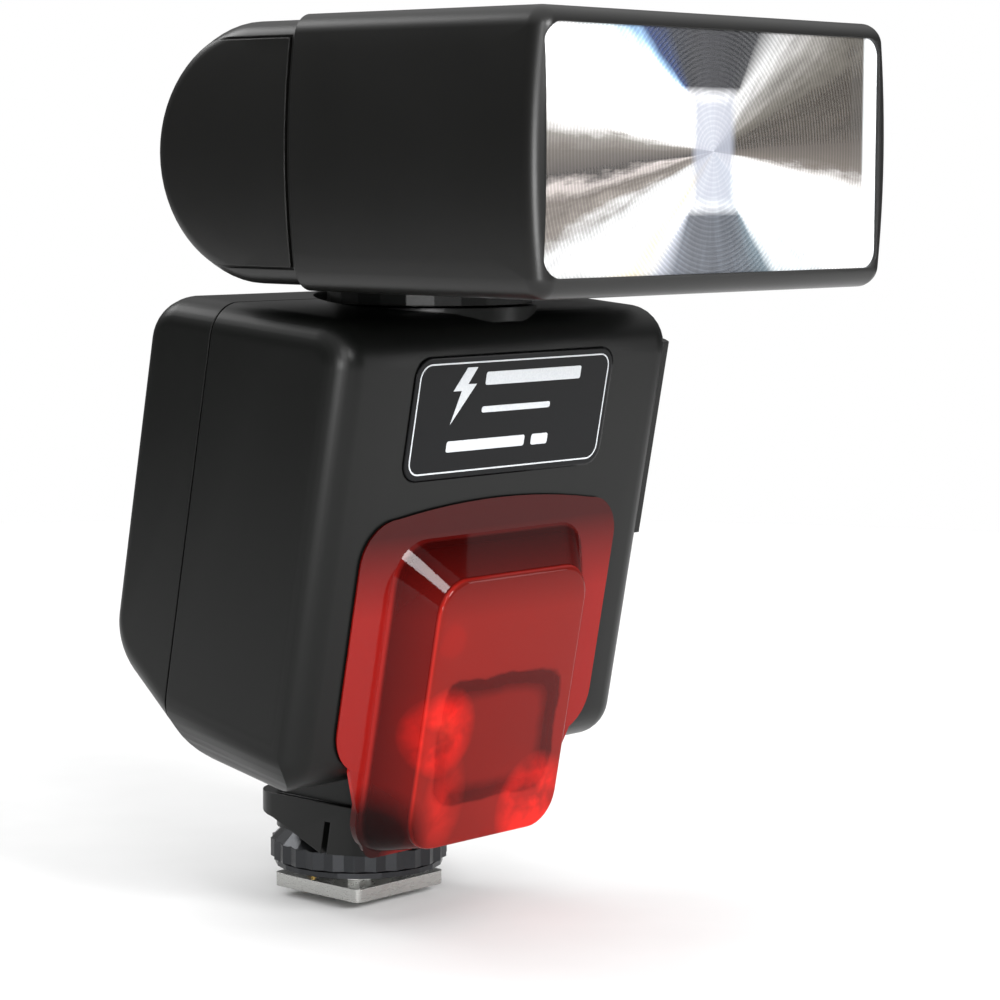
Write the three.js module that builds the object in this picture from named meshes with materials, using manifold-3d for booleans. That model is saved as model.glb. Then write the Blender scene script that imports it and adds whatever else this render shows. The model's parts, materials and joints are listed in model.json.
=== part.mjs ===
// A speedlight flash: a zooming flash head that tilts and swivels on a leaning body,
// with a battery door, a focus-assist window, keys, and a hot-shoe foot with a lock ring.
// Millimetres, +Z up. The origin is the middle of the foot's underside, and the flash faces -Y.

import * as THREE from 'three';
import { mergeVertices } from 'three/addons/utils/BufferGeometryUtils.js';
import Module from 'manifold-3d';

const wasm = await Module();
wasm.setup();

// ---------------------------------------------------------------- driving dimensions

const gap = 0.3; // clearance between pieces that touch
const wall = 2; // moulded wall
const fine = 24; // sides on a round piece
const coarse = 12; // sides on a small round piece

const foot = { width: 18.6, length: 18, thick: 2, stemRadius: 6.5, stemTop: 12.4, fillet: 1.2 };
const washer = { radius: 12.6, bottom: 3.6, thick: 0.8 };
const ring = { radius: 13.3, height: 4.7, rim: 2.7, chamfer: 2.2, flutes: 26, fluteDepth: 0.45 };
const lockPin = { radius: 1, y: -4.8, below: 1.0, length: 7.5 };
const contact = { centreRadius: 1.2, radius: 0.8, below: 0.3, length: 3.4, pitch: 4.2, y: 5.6, centreY: 2.2 };
const pedestal = { halfWidth: 15.6, front: -17.6, rear: 4.6, bottom: 10.9, chin: 8.3 };
const plate = { halfWidth: 18, front: -19, rear: 6.5, bottom: 13.3, top: 15.6, corner: 5 };

const body = { width: 70.6, depth: 39, frontTop: 86.8, frontY: -33, lean: 10.77, edge: 4.5, corner: 10 };
const bodySide = { frontHeight: 67, keel: 68.6, keelFrom: 8, keelTo: 20, rearDrop: 57.9, topFall: 4.2 };
const parting = 26; // depth of the joint between the front and rear body shells

const label = { halfWidth: 20.6, top: 5.5, bottom: 22.6, corner: 2.5, thick: 0.75, recess: 0.9 };
const flange = { halfWidth: 26.5, top: 28.4, bottom: 64.5, arch: 1.6, corner: 6, thick: 1.2, recess: 1.1 };
const lamp = { halfWidth: 20.5, top: 31, heel: 65, bottom: 76.5, depth: 6.3, slope: 5.5, skin: 1.5, corner: 6 };
const skirt = { halfWidth: 25, toe: 17, thick: 1.2 };
const lampOpening = { halfWidth: 15, top: 38, bottom: 61 };

const cell = { radius: 7.25, length: 50.5, doorGap: 3.8, frontDepth: 10, rearDepth: 25.8, high: 13.3 };
cell.from = body.width / 2 - cell.doorGap - cell.length;
cell.low = cell.high + 2 * cell.radius + 0.1;
const cellNub = { radius: 2.6, length: 1.2 };
const tray = { thick: 1.2, front: wall + 1.3, rear: 33 };
const board = { thick: 1.4, depth: 33.5, side: 7.3, top: 8.5, bottom: 52 };
board.halfWidth = body.width / 2 - board.side;
const capacitor = { radius: 9.6, length: 42, depth: 22.5, drop: 50 };
const transformer = { width: 13, depth: 8, height: 13, x: 23, from: 3.2, drop: 39.5 };
const projector = { halfWidth: 8, front: wall + 0.8, rear: 10.5, top: 42, bottom: 57, bore: 4.4 };
const led = { radius: 2.5, length: 4.5 };

const door = { front: 1.05, rear: 33.6, top: 5.3, bottom: 35, proud: 0.8, inset: 1.0, travel: 3 };
const doorHole = { front: wall + 0.5, rear: 33.2, top: 5.9, bottom: 35.3 };
const hinge = { pin: 0.6, knuckle: 1.2, proud: 0.2, drop: 36.9, lug: 4, lugFront: 5.5, lugRear: 31.5 };
hinge.x = body.width / 2 + hinge.proud;
const carriage = { height: 1.9, front: 4.5, rear: 32.5 };
const doorPlate = { thick: 0.8, front: 5, rear: 31, top: 11, bottom: 30.4 };

const rearPanel = { halfWidth: 23, top: 9.5, bottom: 53, corner: 3, thick: 0.9, recess: 0.6 };
const screen = { halfWidth: 18.5, top: 12, bottom: 29, corner: 1.2, thick: 1.2 };
const keyRow = { drop: 36, pitch: 11.5, halfWidth: 3.9, halfHeight: 2.3, proud: 1.1, travel: 0.6 };
const powerSwitch = { x: -11, drop: 46, halfWidth: 3.1, halfHeight: 2.1, proud: 1.1, travel: 4 };
const testKey = { x: 12, drop: 46, radius: 3.4 };
const shellScrew = { shank: 1, head: 1.9, headLength: 1.6, length: 15, boss: 3.1, into: 12 };

const swivel = { y: -14.7, seat: 88, flange: 13, flangeThick: 0.85, collar: 10.5, top: 90.7, pad: 15.4 };
const keeper = { thick: 1.1, rim: 1.7 };
const pillar = { halfWidth: 11.2, halfDepth: 9, cable: 3.5 };

const head = { tilt: 109.5, halfWidth: 38, halfHeight: 18.45, front: -53.8, bulge: 1.5, edge: 4.5 };
const headSeam = -9.8; // depth of the joint between the head's two shells, from the tilt axis
const headStep = 0.7; // the rear shell is this much slimmer than the front one
const drum = { radius: head.halfHeight - wall - 1.15, halfWidth: 11.2 };
const slot = { halfWidth: 13, reach: 9.5 };
const web = { inner: 13.2, thick: 2 };
const axle = { radius: 3, halfLength: 17.5 };
const click = { springThick: 0.5, plateThick: 0.6, radius: 7.6, notch: 0.7 };
const cap = { front: -8.5, rim: 3.15, rearRim: 1.05, deep: 1.5, proud: 0.25 };
cap.halfHeight = head.halfHeight - cap.rim;
cap.radius = head.halfHeight - cap.rearRim;

const window = { side: 3.1, below: 3.15, above: 2.45, corner: 3.5, lip: 2.1, brim: 0.8 };
window.halfWidth = head.halfWidth - window.side;
window.bottom = window.below - head.halfHeight;
window.top = head.halfHeight - window.above;
const trough = { side: 8, rim: 5.25, depth: 12.6, skin: 1, front: head.front + 4.2 };
trough.halfWidth = head.halfWidth - trough.side;
trough.halfHeight = head.halfHeight - trough.rim;
const tube = { radius: 2.3, halfLength: trough.halfWidth + 1.3 };
const ear = { out: head.halfWidth - wall - 1.3, halfHeight: 2.7, thick: 3.6 };
const rod = { radius: 1.1, x: head.halfWidth - wall - 3, z: -8.5, front: head.front + 3.8, rear: -16.2 };
const screw = { radius: 1.1, z: 8.5, rear: -13.4, gear: 2.3, teeth: 14, face: 1.8 };
const pinion = { radius: 2, teeth: 12, shaft: 0.6 };
pinion.x = rod.x - screw.gear - pinion.radius - 0.5;
const motor = { radius: 4.9, front: -12.6, length: 15 };
const seat = { thick: 2.4, frontFrom: rod.front - 0.2, rearFrom: rod.rear - 2.6 };

// ---------------------------------------------------------------- materials

const finish = (color, roughness, metalness) => new THREE.MeshStandardMaterial({ color, roughness, metalness });
const blackPlastic = finish('#2b2b29', 0.5, 0);
const glossBlack = finish('#1b1c1e', 0.2, 0);
const redPlastic = finish('#9a2a26', 0.2, 0);
const clearPlastic = finish('#dfe3e4', 0.1, 0);
const greyPlastic = finish('#55585a', 0.5, 0);
const steel = finish('#a7a9ab', 0.35, 0.9);
const darkSteel = finish('#4b4d50', 0.35, 0.9);
const brass = finish('#c9a556', 0.3, 1);
const aluminium = finish('#d3d5d7', 0.2, 1);
const greenBoard = finish('#1f5a38', 0.5, 0);
const glass = finish('#e8ecee', 0.05, 0);

// ---------------------------------------------------------------- solids

// A closed geometry as a solid, with its faces pointing out.
function solid(geometry) {
  geometry.deleteAttribute('normal');
  geometry.deleteAttribute('uv');
  const merged = mergeVertices(geometry, 1e-4);
  const vertProperties = new Float32Array(merged.attributes.position.array);
  const triVerts = new Uint32Array(merged.index.array);
  const made = new wasm.Manifold(new wasm.Mesh({ numProp: 3, vertProperties, triVerts }));
  if (made.volume() > 0) return made;
  triVerts.reverse();
  return new wasm.Manifold(new wasm.Mesh({ numProp: 3, vertProperties, triVerts }));
}

// A piece of the flash: a named mesh in its group.
function piece(name, shape, material, group, x = 0, y = 0, z = 0) {
  const { vertProperties, triVerts } = shape.getMesh();
  const geometry = new THREE.BufferGeometry();
  geometry.setAttribute('position', new THREE.BufferAttribute(new Float32Array(vertProperties), 3));
  geometry.setIndex(new THREE.BufferAttribute(new Uint32Array(triVerts), 1));
  geometry.computeVertexNormals();
  const mesh = new THREE.Mesh(geometry, material);
  mesh.name = name;
  mesh.position.set(x, y, z);
  group.add(mesh);
  return mesh;
}

const add = (first, ...others) => others.reduce((sum, other) => sum.add(other), first);
const cut = (first, ...others) => others.reduce((rest, other) => rest.subtract(other), first);

function block(x0, x1, y0, y1, z0, z1) {
  const geometry = new THREE.BoxGeometry(x1 - x0, y1 - y0, z1 - z0);
  geometry.translate((x0 + x1) / 2, (y0 + y1) / 2, (z0 + z1) / 2);
  return solid(geometry);
}

// The three directions in which an outline is extruded. Its own two axes are the other two, in order.
const bases = {
  x: new THREE.Matrix4().makeBasis(
    new THREE.Vector3(0, 1, 0), new THREE.Vector3(0, 0, 1), new THREE.Vector3(1, 0, 0)),
  y: new THREE.Matrix4().makeBasis(
    new THREE.Vector3(1, 0, 0), new THREE.Vector3(0, 0, 1), new THREE.Vector3(0, -1, 0)),
  z: new THREE.Matrix4(),
};

function prism(axis, outline, from, to, bevel = 0, bevelSteps = 2, curveSteps = 3) {
  const geometry = new THREE.ExtrudeGeometry(outline, {
    depth: to - from - 2 * bevel,
    bevelEnabled: bevel > 0,
    bevelThickness: bevel,
    bevelSize: bevel,
    bevelOffset: -bevel,
    bevelSegments: bevelSteps,
    curveSegments: curveSteps,
  });
  geometry.translate(0, 0, (axis === 'y' ? -to : from) + bevel);
  geometry.applyMatrix4(bases[axis]);
  return solid(geometry);
}

// A round bar along an axis. u and v are its place on the other two axes, in order.
function bar(axis, radius, from, to, u = 0, v = 0, sides = coarse) {
  const geometry = new THREE.CylinderGeometry(radius, radius, to - from, sides);
  const middle = (from + to) / 2;
  if (axis === 'x') geometry.rotateZ(Math.PI / 2).translate(middle, u, v);
  if (axis === 'y') geometry.translate(u, middle, v);
  if (axis === 'z') geometry.rotateX(Math.PI / 2).translate(u, v, middle);
  return solid(geometry);
}

// A turned piece about the Z axis, from [radius, height] points.
function turned(points, sides = fine) {
  const profile = points.map(([radius, height]) => new THREE.Vector2(radius, height));
  return solid(new THREE.LatheGeometry([...profile, profile[0]], sides).rotateX(Math.PI / 2));
}

function roundedBox(left, right, bottom, top, radius) {
  const outline = new THREE.Shape();
  outline.moveTo(left + radius, bottom);
  outline.lineTo(right - radius, bottom);
  outline.absarc(right - radius, bottom + radius, radius, -Math.PI / 2, 0);
  outline.lineTo(right, top - radius);
  outline.absarc(right - radius, top - radius, radius, 0, Math.PI / 2);
  outline.lineTo(left + radius, top);
  outline.absarc(left + radius, top - radius, radius, Math.PI / 2, Math.PI);
  outline.lineTo(left, bottom + radius);
  outline.absarc(left + radius, bottom + radius, radius, Math.PI, 1.5 * Math.PI);
  return outline;
}

// A gear or knurled outline: a circle with straight-sided teeth.
function toothed(radius, teeth, depth) {
  const outline = new THREE.Shape();
  for (let i = 0; i < 2 * teeth; i += 1) {
    const angle = (Math.PI * i) / teeth;
    const reach = i % 2 ? radius - depth : radius;
    const x = reach * Math.cos(angle);
    const y = reach * Math.sin(angle);
    if (i === 0) outline.moveTo(x, y);
    else outline.lineTo(x, y);
  }
  outline.closePath();
  return outline;
}

// ---------------------------------------------------------------- groups

const flash = new THREE.Group();

// The body leans forward. In its own group depth runs back from the front face and height is
// negative down from the front's top edge.
const bodyGroup = new THREE.Group();
bodyGroup.position.set(0, body.frontY, body.frontTop);
bodyGroup.rotation.x = THREE.MathUtils.degToRad(body.lean);
bodyGroup.updateMatrix();

// The neck turns about the swivel axis, and the head tilts about its own group's X axis.
const neckGroup = new THREE.Group();
neckGroup.position.set(0, swivel.y, 0);
const headGroup = new THREE.Group();
headGroup.position.set(0, swivel.y, head.tilt);
flash.add(bodyGroup, neckGroup, headGroup);

const upright = bodyGroup.matrix.clone().invert();
const inBody = (shape) => shape.transform(upright.elements);
const inFlash = (shape) => shape.transform(bodyGroup.matrix.elements);

// ---------------------------------------------------------------- body shells

// The side outline of the body, moved in or out by an offset, with round corners.
function bodyOutline(offset) {
  const { frontHeight, keel, keelFrom, keelTo, rearDrop, topFall } = bodySide;
  const corners = [
    [0, 0, 6],
    [0, -frontHeight, 6],
    [keelFrom, -keel, 0],
    [keelTo, -keel, 8],
    [body.depth, -rearDrop, 9],
    [body.depth, -topFall, 6],
  ];
  const points = corners.map(([y, z]) => new THREE.Vector2(y, z));
  const lines = points.map((point, i) => {
    const next = points[(i + 1) % points.length];
    const along = next.clone().sub(point).normalize();
    const out = new THREE.Vector2(along.y, -along.x);
    return { base: point.clone().addScaledVector(out, offset), along };
  });
  const outline = new THREE.Shape();
  corners.forEach(([, , radius], i) => {
    const before = lines[(i + corners.length - 1) % corners.length];
    const after = lines[i];
    const spread = after.base.clone().sub(before.base);
    const reach = spread.cross(after.along) / before.along.cross(after.along);
    const corner = before.base.clone().addScaledVector(before.along, reach);
    const turn = Math.acos(THREE.MathUtils.clamp(before.along.dot(after.along), -1, 1));
    const round = radius > 0 ? radius + offset : 0;
    const start = corner.clone().addScaledVector(before.along, -round * Math.tan(turn / 2));
    if (i === 0) outline.moveTo(start.x, start.y);
    else outline.lineTo(start.x, start.y);
    if (round > 0) {
      const from = Math.atan2(-before.along.x, before.along.y);
      const centre = start.clone().add(new THREE.Vector2(-before.along.y, before.along.x).multiplyScalar(round));
      outline.absarc(centre.x, centre.y, round, from, from + turn);
    }
  });
  outline.closePath();
  return outline;
}

// The body's outer form, or the same form a little smaller for what is inside it.
function bodyForm(offset) {
  const half = body.width / 2 + offset;
  const steps = offset < 0 ? 1 : 3;
  const side = prism('x', bodyOutline(offset), -half, half, body.edge + offset, steps, steps + 1);
  const face = roundedBox(-half, half, -bodySide.keel - 1 - offset, 20, body.corner + offset);
  return side.intersect(prism('y', face, -5, body.depth + 5, 0, 0, steps + 2));
}

// The body's cross-section at one offset, between two heights.
function bodySlice(offset, bottom, top) {
  const half = body.width / 2 + offset;
  const outline = roundedBox(-half, half, -offset, body.depth + offset, body.edge + offset);
  return prism('z', outline, -bottom, -top, 0, 0, 3);
}

const outer = bodyForm(0);
const inner = bodyForm(-wall);
const shell = outer.subtract(inner);

// Neck seat: a flat pad on the sloping top, with a well for the neck's flange.
const pad = inBody(bar('z', swivel.pad, swivel.seat - 1, swivel.seat, 0, swivel.y, fine));
const well = inBody(bar('z', swivel.flange + 4, swivel.seat, head.tilt, 0, swivel.y, fine));
const neckHole = inBody(bar('z', pillar.cable, swivel.seat - 9, head.tilt, 0, swivel.y, coarse));

// Battery door frame: the body's side is set back under the door and its carriage.
const sideFrom = body.width / 2 - 15.3;
const trackBottom = hinge.drop + hinge.knuckle + carriage.height + door.travel + 2.5 * gap;
const doorTrack = bodySlice(3, trackBottom, door.top - 0.6)
  .subtract(bodySlice(-door.inset - gap, 90, -20))
  .intersect(block(sideFrom, body.width, door.front - gap, door.rear + gap, -90, 10));
const doorFloor = bodySlice(-door.inset - gap, trackBottom + 1.3, doorHole.bottom)
  .subtract(bodySlice(-door.inset - gap - 1.6, 90, -20))
  .intersect(block(sideFrom + 2, body.width, door.front - gap - 1, door.rear + gap + 1, -90, 10))
  .intersect(outer);
const doorOpening = block(sideFrom + 2, body.width, doorHole.front, doorHole.rear,
  -doorHole.bottom, -doorHole.top);

// Screw posts that join the two shells, by [x, drop].
const postX = body.width / 2 - wall - shellScrew.boss + 0.2;
const posts = [[-postX, 46.5], [postX, 46.5], [-postX, 12.5]];
const postAt = ([x, drop], radius, from, to) => bar('y', radius, from, to, x, -drop);
const frontPosts = posts.map((at) => postAt(at, shellScrew.boss, parting - shellScrew.into, parting));
const rearPosts = posts.map((at) => postAt(at, shellScrew.boss, parting, body.depth - 1));
const postBores = posts.map((at) => postAt(at, shellScrew.shank + gap, parting - 20, body.depth));
const postHeads = posts.map((at) => postAt(at, shellScrew.head + gap,
  body.depth - 0.4 - shellScrew.headLength - gap, body.depth + 5));

const lampHole = block(-lampOpening.halfWidth, lampOpening.halfWidth, -9, wall + 1,
  -lampOpening.bottom, -lampOpening.top);
const labelOutline = (grow) => roundedBox(-label.halfWidth - grow, label.halfWidth + grow,
  -label.bottom - grow, -label.top + grow, label.corner + grow);
const labelRecess = prism('y', labelOutline(gap), -9, label.recess);

// The arched outline of the focus-assist window's flange.
function flangeOutline(grow) {
  const half = flange.halfWidth + grow;
  const side = -flange.top + grow;
  const low = -flange.bottom - grow;
  const radius = flange.corner + grow;
  const outline = new THREE.Shape();
  outline.moveTo(-half + radius, low);
  outline.lineTo(half - radius, low);
  outline.absarc(half - radius, low + radius, radius, -Math.PI / 2, 0);
  outline.lineTo(half, side - radius);
  outline.absarc(half - radius, side - radius, radius, 0, Math.PI / 2);
  outline.quadraticCurveTo(0, side + 2 * flange.arch, -half + radius, side);
  outline.absarc(-half + radius, side - radius, radius, Math.PI / 2, Math.PI);
  outline.lineTo(-half, low + radius);
  outline.absarc(-half + radius, low + radius, radius, Math.PI, 1.5 * Math.PI);
  return outline;
}
const flangeRecess = prism('y', flangeOutline(gap), -9, flange.recess);

const frontHalf = block(-60, 60, -20, parting - gap / 2, -120, 40);
const rearHalf = block(-60, 60, parting + gap / 2, 80, -120, 40);
const openings = [doorTrack, doorOpening, neckHole];

const frontShell = cut(
  add(shell.add(pad), doorFloor, ...frontPosts).subtract(well),
  ...openings, ...postBores, lampHole, labelRecess, flangeRecess,
).intersect(frontHalf);

// ---------------------------------------------------------------- rear of the body

const panelOutline = (grow) => roundedBox(-rearPanel.halfWidth - grow, rearPanel.halfWidth + grow,
  -rearPanel.bottom - grow, -rearPanel.top + grow, rearPanel.corner + grow);
const screenOutline = (grow) => roundedBox(-screen.halfWidth - grow, screen.halfWidth + grow,
  -screen.bottom - grow, -screen.top + grow, screen.corner + grow);
const back = body.depth;
const panelFloor = back - rearPanel.recess;
const panelFace = panelFloor + gap / 2 + rearPanel.thick;
const keyInside = board.depth + board.thick + gap + keyRow.travel;

const keyAt = (i) => [(i - 1) * keyRow.pitch, keyRow.drop];
const keyOutline = (grow) => roundedBox(-keyRow.halfWidth - grow, keyRow.halfWidth + grow,
  -keyRow.halfHeight - grow, keyRow.halfHeight + grow, 1.6 + grow);
const keyHole = (i) => prism('y', keyOutline(gap), back - 4, back + 5)
  .translate([keyAt(i)[0], 0, -keyAt(i)[1]]);
const testHole = bar('y', testKey.radius + gap, back - 4, back + 5, testKey.x, -testKey.drop, fine);
const switchReach = powerSwitch.halfWidth + powerSwitch.travel / 2 + gap;
const switchHole = block(powerSwitch.x - switchReach, powerSwitch.x + switchReach,
  back - 4, back + 5, -powerSwitch.drop - powerSwitch.halfHeight - gap,
  -powerSwitch.drop + powerSwitch.halfHeight + gap);
const panelHoles = [keyHole(0), keyHole(1), keyHole(2), testHole, switchHole];
const screenHole = prism('y', screenOutline(gap), back - 4, back + 5);

const rearShell = cut(
  add(shell.add(pad), doorFloor, ...rearPosts).subtract(well),
  ...openings, ...postBores, ...postHeads, ...panelHoles, screenHole,
  prism('y', panelOutline(gap), panelFloor, back + 5),
).intersect(rearHalf);

// ---------------------------------------------------------------- pieces of the body

piece('front_shell', frontShell, blackPlastic, bodyGroup);
piece('rear_shell', rearShell, blackPlastic, bodyGroup);
piece('label_plate', prism('y', labelOutline(0), label.recess - gap - label.thick, label.recess - gap),
  glossBlack, bodyGroup);

// The red window: a flange let into the front, a hollow block that stands proud, and a skirt that
// follows the block's slanting underside.
function underLine(outline, grow) {
  outline.lineTo(1 + grow, -lamp.heel - grow);
  outline.lineTo(grow, -lamp.heel - grow);
  outline.lineTo(-lamp.depth + grow, -lamp.bottom - grow);
}
function lampBlock(inset) {
  const half = lamp.halfWidth - inset;
  const deep = lamp.depth - inset;
  const outline = roundedBox(-half, half, -lamp.bottom - 3, -lamp.top - inset, lamp.corner);
  const full = new THREE.ExtrudeGeometry(outline, {
    depth: 2,
    bevelThickness: deep,
    bevelSize: lamp.slope,
    bevelOffset: -lamp.slope,
    bevelSegments: 1,
    curveSegments: 4,
  });
  full.applyMatrix4(bases.y);
  const above = new THREE.Shape();
  above.moveTo(1, 5);
  underLine(above, -inset);
  above.lineTo(-20, -lamp.bottom + inset);
  above.lineTo(-20, 5);
  above.closePath();
  return solid(full).intersect(prism('x', above, -60, 60));
}
function skirtPlate(grow) {
  const side = new THREE.Shape();
  side.moveTo(1 + grow, -lamp.heel + 3);
  underLine(side, skirt.thick + grow);
  side.lineTo(-lamp.depth - 0.2, -lamp.bottom + 0.2);
  side.lineTo(-0.3, -lamp.heel + 0.2);
  side.lineTo(-0.3, -lamp.heel + 3);
  side.closePath();
  const face = new THREE.Shape();
  face.moveTo(-skirt.halfWidth - grow, -lamp.heel + 3);
  face.lineTo(-skirt.toe - grow, -lamp.bottom - 3);
  face.lineTo(skirt.toe + grow, -lamp.bottom - 3);
  face.lineTo(skirt.halfWidth + grow, -lamp.heel + 3);
  face.closePath();
  return prism('x', side, -60, 60).intersect(prism('y', face, -20, 20));
}
const flangeBack = flange.recess - gap;
const flangeFront = flangeBack - flange.thick;
const lampFlange = prism('y', flangeOutline(0), flangeFront, flangeBack);
const lampHollow = block(-lampOpening.halfWidth, lampOpening.halfWidth, -1, wall,
  -lampOpening.bottom, -lampOpening.top);
const skirtFit = skirtPlate(0).subtract(bodyForm(gap));
piece('af_window', cut(
  add(lampFlange, lampBlock(0).intersect(block(-60, 60, -20, flangeFront + 0.1, -120, 0)), skirtFit),
  lampBlock(lamp.skin).intersect(block(-60, 60, -20, -0.6, -120, 0)), lampHollow,
), redPlastic, bodyGroup);

// Focus-assist projector behind the red window, with its lamp.
const projectorAxis = -(projector.top + projector.bottom) / 2;
piece('af_projector', cut(
  block(-projector.halfWidth, projector.halfWidth, projector.front, projector.rear,
    -projector.bottom, -projector.top),
  bar('y', projector.bore, projector.front - 1, projector.rear - 1.5, 0, projectorAxis),
), blackPlastic, bodyGroup);
piece('af_led', bar('y', led.radius, 0, led.length), glass, bodyGroup,
  0, projector.rear - 1.5 - gap - led.length, projectorAxis);

// Cells, two in front and two behind, with their tray and contacts.
const cellShape = bar('x', cell.radius, 0, cell.length - cellNub.length, 0, 0, 20)
  .add(bar('x', cellNub.radius, cell.length - cellNub.length - 0.5, cell.length));
[[cell.frontDepth, cell.high], [cell.frontDepth, cell.low], [cell.rearDepth, cell.high],
  [cell.rearDepth, cell.low]].forEach(([depth, drop], i) => {
  piece(`battery_cell_${i + 1}`, cellShape, greyPlastic, bodyGroup, cell.from, depth, -drop);
});
const trayTop = -cell.low - cell.radius - gap;
const trayEnd = cell.from - 1.8;
const trayWall = trayTop - tray.thick;
piece('battery_tray', add(
  block(trayEnd - tray.thick, body.width / 2 - 4.6, tray.front, tray.rear, trayWall, trayTop),
  block(trayEnd - tray.thick, trayEnd, tray.front, tray.rear, trayWall, -cell.high + cell.radius - 3),
), blackPlastic, bodyGroup);
piece('inner_contact_plate', block(trayEnd + gap, trayEnd + gap + 0.8, cell.frontDepth - 4.5, cell.rearDepth + 4.5,
  -cell.low - 4.5, -cell.high + 3.5), steel, bodyGroup);

piece('main_capacitor', bar('x', capacitor.radius, -capacitor.length / 2, capacitor.length / 2, 0, 0, 24),
  glossBlack, bodyGroup, 0, capacitor.depth, -capacitor.drop);
piece('transformer', block(-transformer.width / 2, transformer.width / 2, 0, transformer.depth,
  -transformer.height, 0), brass, bodyGroup, transformer.x, transformer.from, -transformer.drop);
piece('main_board', block(-board.halfWidth, board.halfWidth, 0, board.thick, -board.bottom, -board.top).subtract(
  add(...posts.map((at) => postAt(at, shellScrew.boss + gap, -1, 5)))), greenBoard, bodyGroup, 0, board.depth, 0);

// Display, key panel, keys and switch.
piece('display_module', block(-screen.halfWidth + 1, screen.halfWidth - 1, 0, 1.3, -screen.bottom + 1,
  -screen.top - 1), greyPlastic, bodyGroup, 0, board.depth + board.thick + gap, 0);
piece('display_window', prism('y', screenOutline(0), panelFace - screen.thick - 0.2, panelFace - 0.2),
  glossBlack, bodyGroup);
piece('key_panel', cut(prism('y', panelOutline(0), panelFloor + gap, panelFace), ...panelHoles, screenHole),
  glossBlack, bodyGroup);
['mode_key', 'zoom_key', 'light_key'].forEach((name, i) => {
  piece(name, prism('y', keyOutline(0), keyInside, panelFace + keyRow.proud), greyPlastic, bodyGroup,
    keyAt(i)[0], 0, -keyAt(i)[1]);
});
piece('test_key', bar('y', testKey.radius, keyInside, panelFace + keyRow.proud, 0, 0, 24), greyPlastic, bodyGroup,
  testKey.x, 0, -testKey.drop);
piece('power_switch', block(-powerSwitch.halfWidth, powerSwitch.halfWidth, keyInside,
  panelFace + powerSwitch.proud, -powerSwitch.halfHeight, powerSwitch.halfHeight), greyPlastic, bodyGroup,
powerSwitch.x - powerSwitch.travel / 2, 0, -powerSwitch.drop);

const screwShape = add(bar('y', shellScrew.shank, 0, shellScrew.length, 0, 0, 12),
  bar('y', shellScrew.head, shellScrew.length - shellScrew.headLength, shellScrew.length));
posts.forEach(([x, drop], i) => {
  piece(`shell_screw_${i + 1}`, screwShape, darkSteel, bodyGroup, x, back - 0.4 - shellScrew.length, -drop);
});

// ---------------------------------------------------------------- battery door

const hingeAt = (radius, from, to) => bar('y', radius, from, to, hinge.x, -hinge.drop);
const doorFrame = block(sideFrom, body.width, door.front, door.rear, -door.bottom, -door.top);
const doorSkin = bodySlice(door.proud, door.bottom, door.top).subtract(bodySlice(-door.inset, 90, -20));
const knuckleFrom = hinge.lugFront + hinge.lug + gap;
const knuckleTo = hinge.lugRear - hinge.lug - gap;
const knuckle = add(hingeAt(hinge.knuckle, knuckleFrom, knuckleTo),
  block(hinge.x - 0.7, hinge.x + 1, knuckleFrom, knuckleTo, -hinge.drop, -door.bottom + 0.5));
piece('battery_door', doorSkin.intersect(doorFrame).add(knuckle).subtract(hingeAt(hinge.pin + gap, 0, 60)),
  blackPlastic, bodyGroup);
const lugs = [[hinge.lugFront, hinge.lugFront + hinge.lug], [hinge.lugRear - hinge.lug, hinge.lugRear]];
const carriageTop = -hinge.drop - hinge.knuckle - gap;
piece('door_carriage', add(
  block(hinge.x - 0.7, hinge.x + 0.9, carriage.front, carriage.rear, carriageTop - carriage.height, carriageTop),
  ...lugs.map(([from, to]) => hingeAt(hinge.knuckle, from, to)),
  ...lugs.map(([from, to]) => block(hinge.x - 0.7, hinge.x + 0.9, from, to, carriageTop - 0.5, -hinge.drop)),
).subtract(hingeAt(hinge.pin + gap, 0, 60)), blackPlastic, bodyGroup);
piece('door_hinge_pin', hingeAt(hinge.pin, hinge.lugFront, hinge.lugRear), steel, bodyGroup);
const doorBack = body.width / 2 - door.inset - gap;
piece('door_contact_plate', block(doorBack - doorPlate.thick, doorBack, doorPlate.front, doorPlate.rear,
  -doorPlate.bottom, -doorPlate.top), steel, bodyGroup);

// ---------------------------------------------------------------- pedestal, lock and foot

const pedestalBlock = prism('z', roundedBox(-pedestal.halfWidth, pedestal.halfWidth, pedestal.front,
  pedestal.rear, plate.corner), pedestal.bottom, 30);
const shelf = prism('z', roundedBox(-plate.halfWidth, plate.halfWidth, plate.front, plate.rear, plate.corner),
  plate.bottom, plate.top);
const chin = prism('z', roundedBox(-pedestal.halfWidth, pedestal.halfWidth, plate.front, pedestal.front + 4, 1.8),
  pedestal.chin, plate.bottom + 1).subtract(bar('z', ring.radius + 1, 0, 40, 0, 0, fine));
const stemBore = bar('z', foot.stemRadius + gap, 0, foot.stemTop + gap, 0, 0, fine);
const clearOfBody = inFlash(bodyForm(gap));
const lampGuard = inFlash(add(lampBlock(-gap), skirtPlate(gap)));
piece('pedestal', cut(add(pedestalBlock, shelf, chin), stemBore, clearOfBody, lampGuard), blackPlastic, flash);

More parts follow.
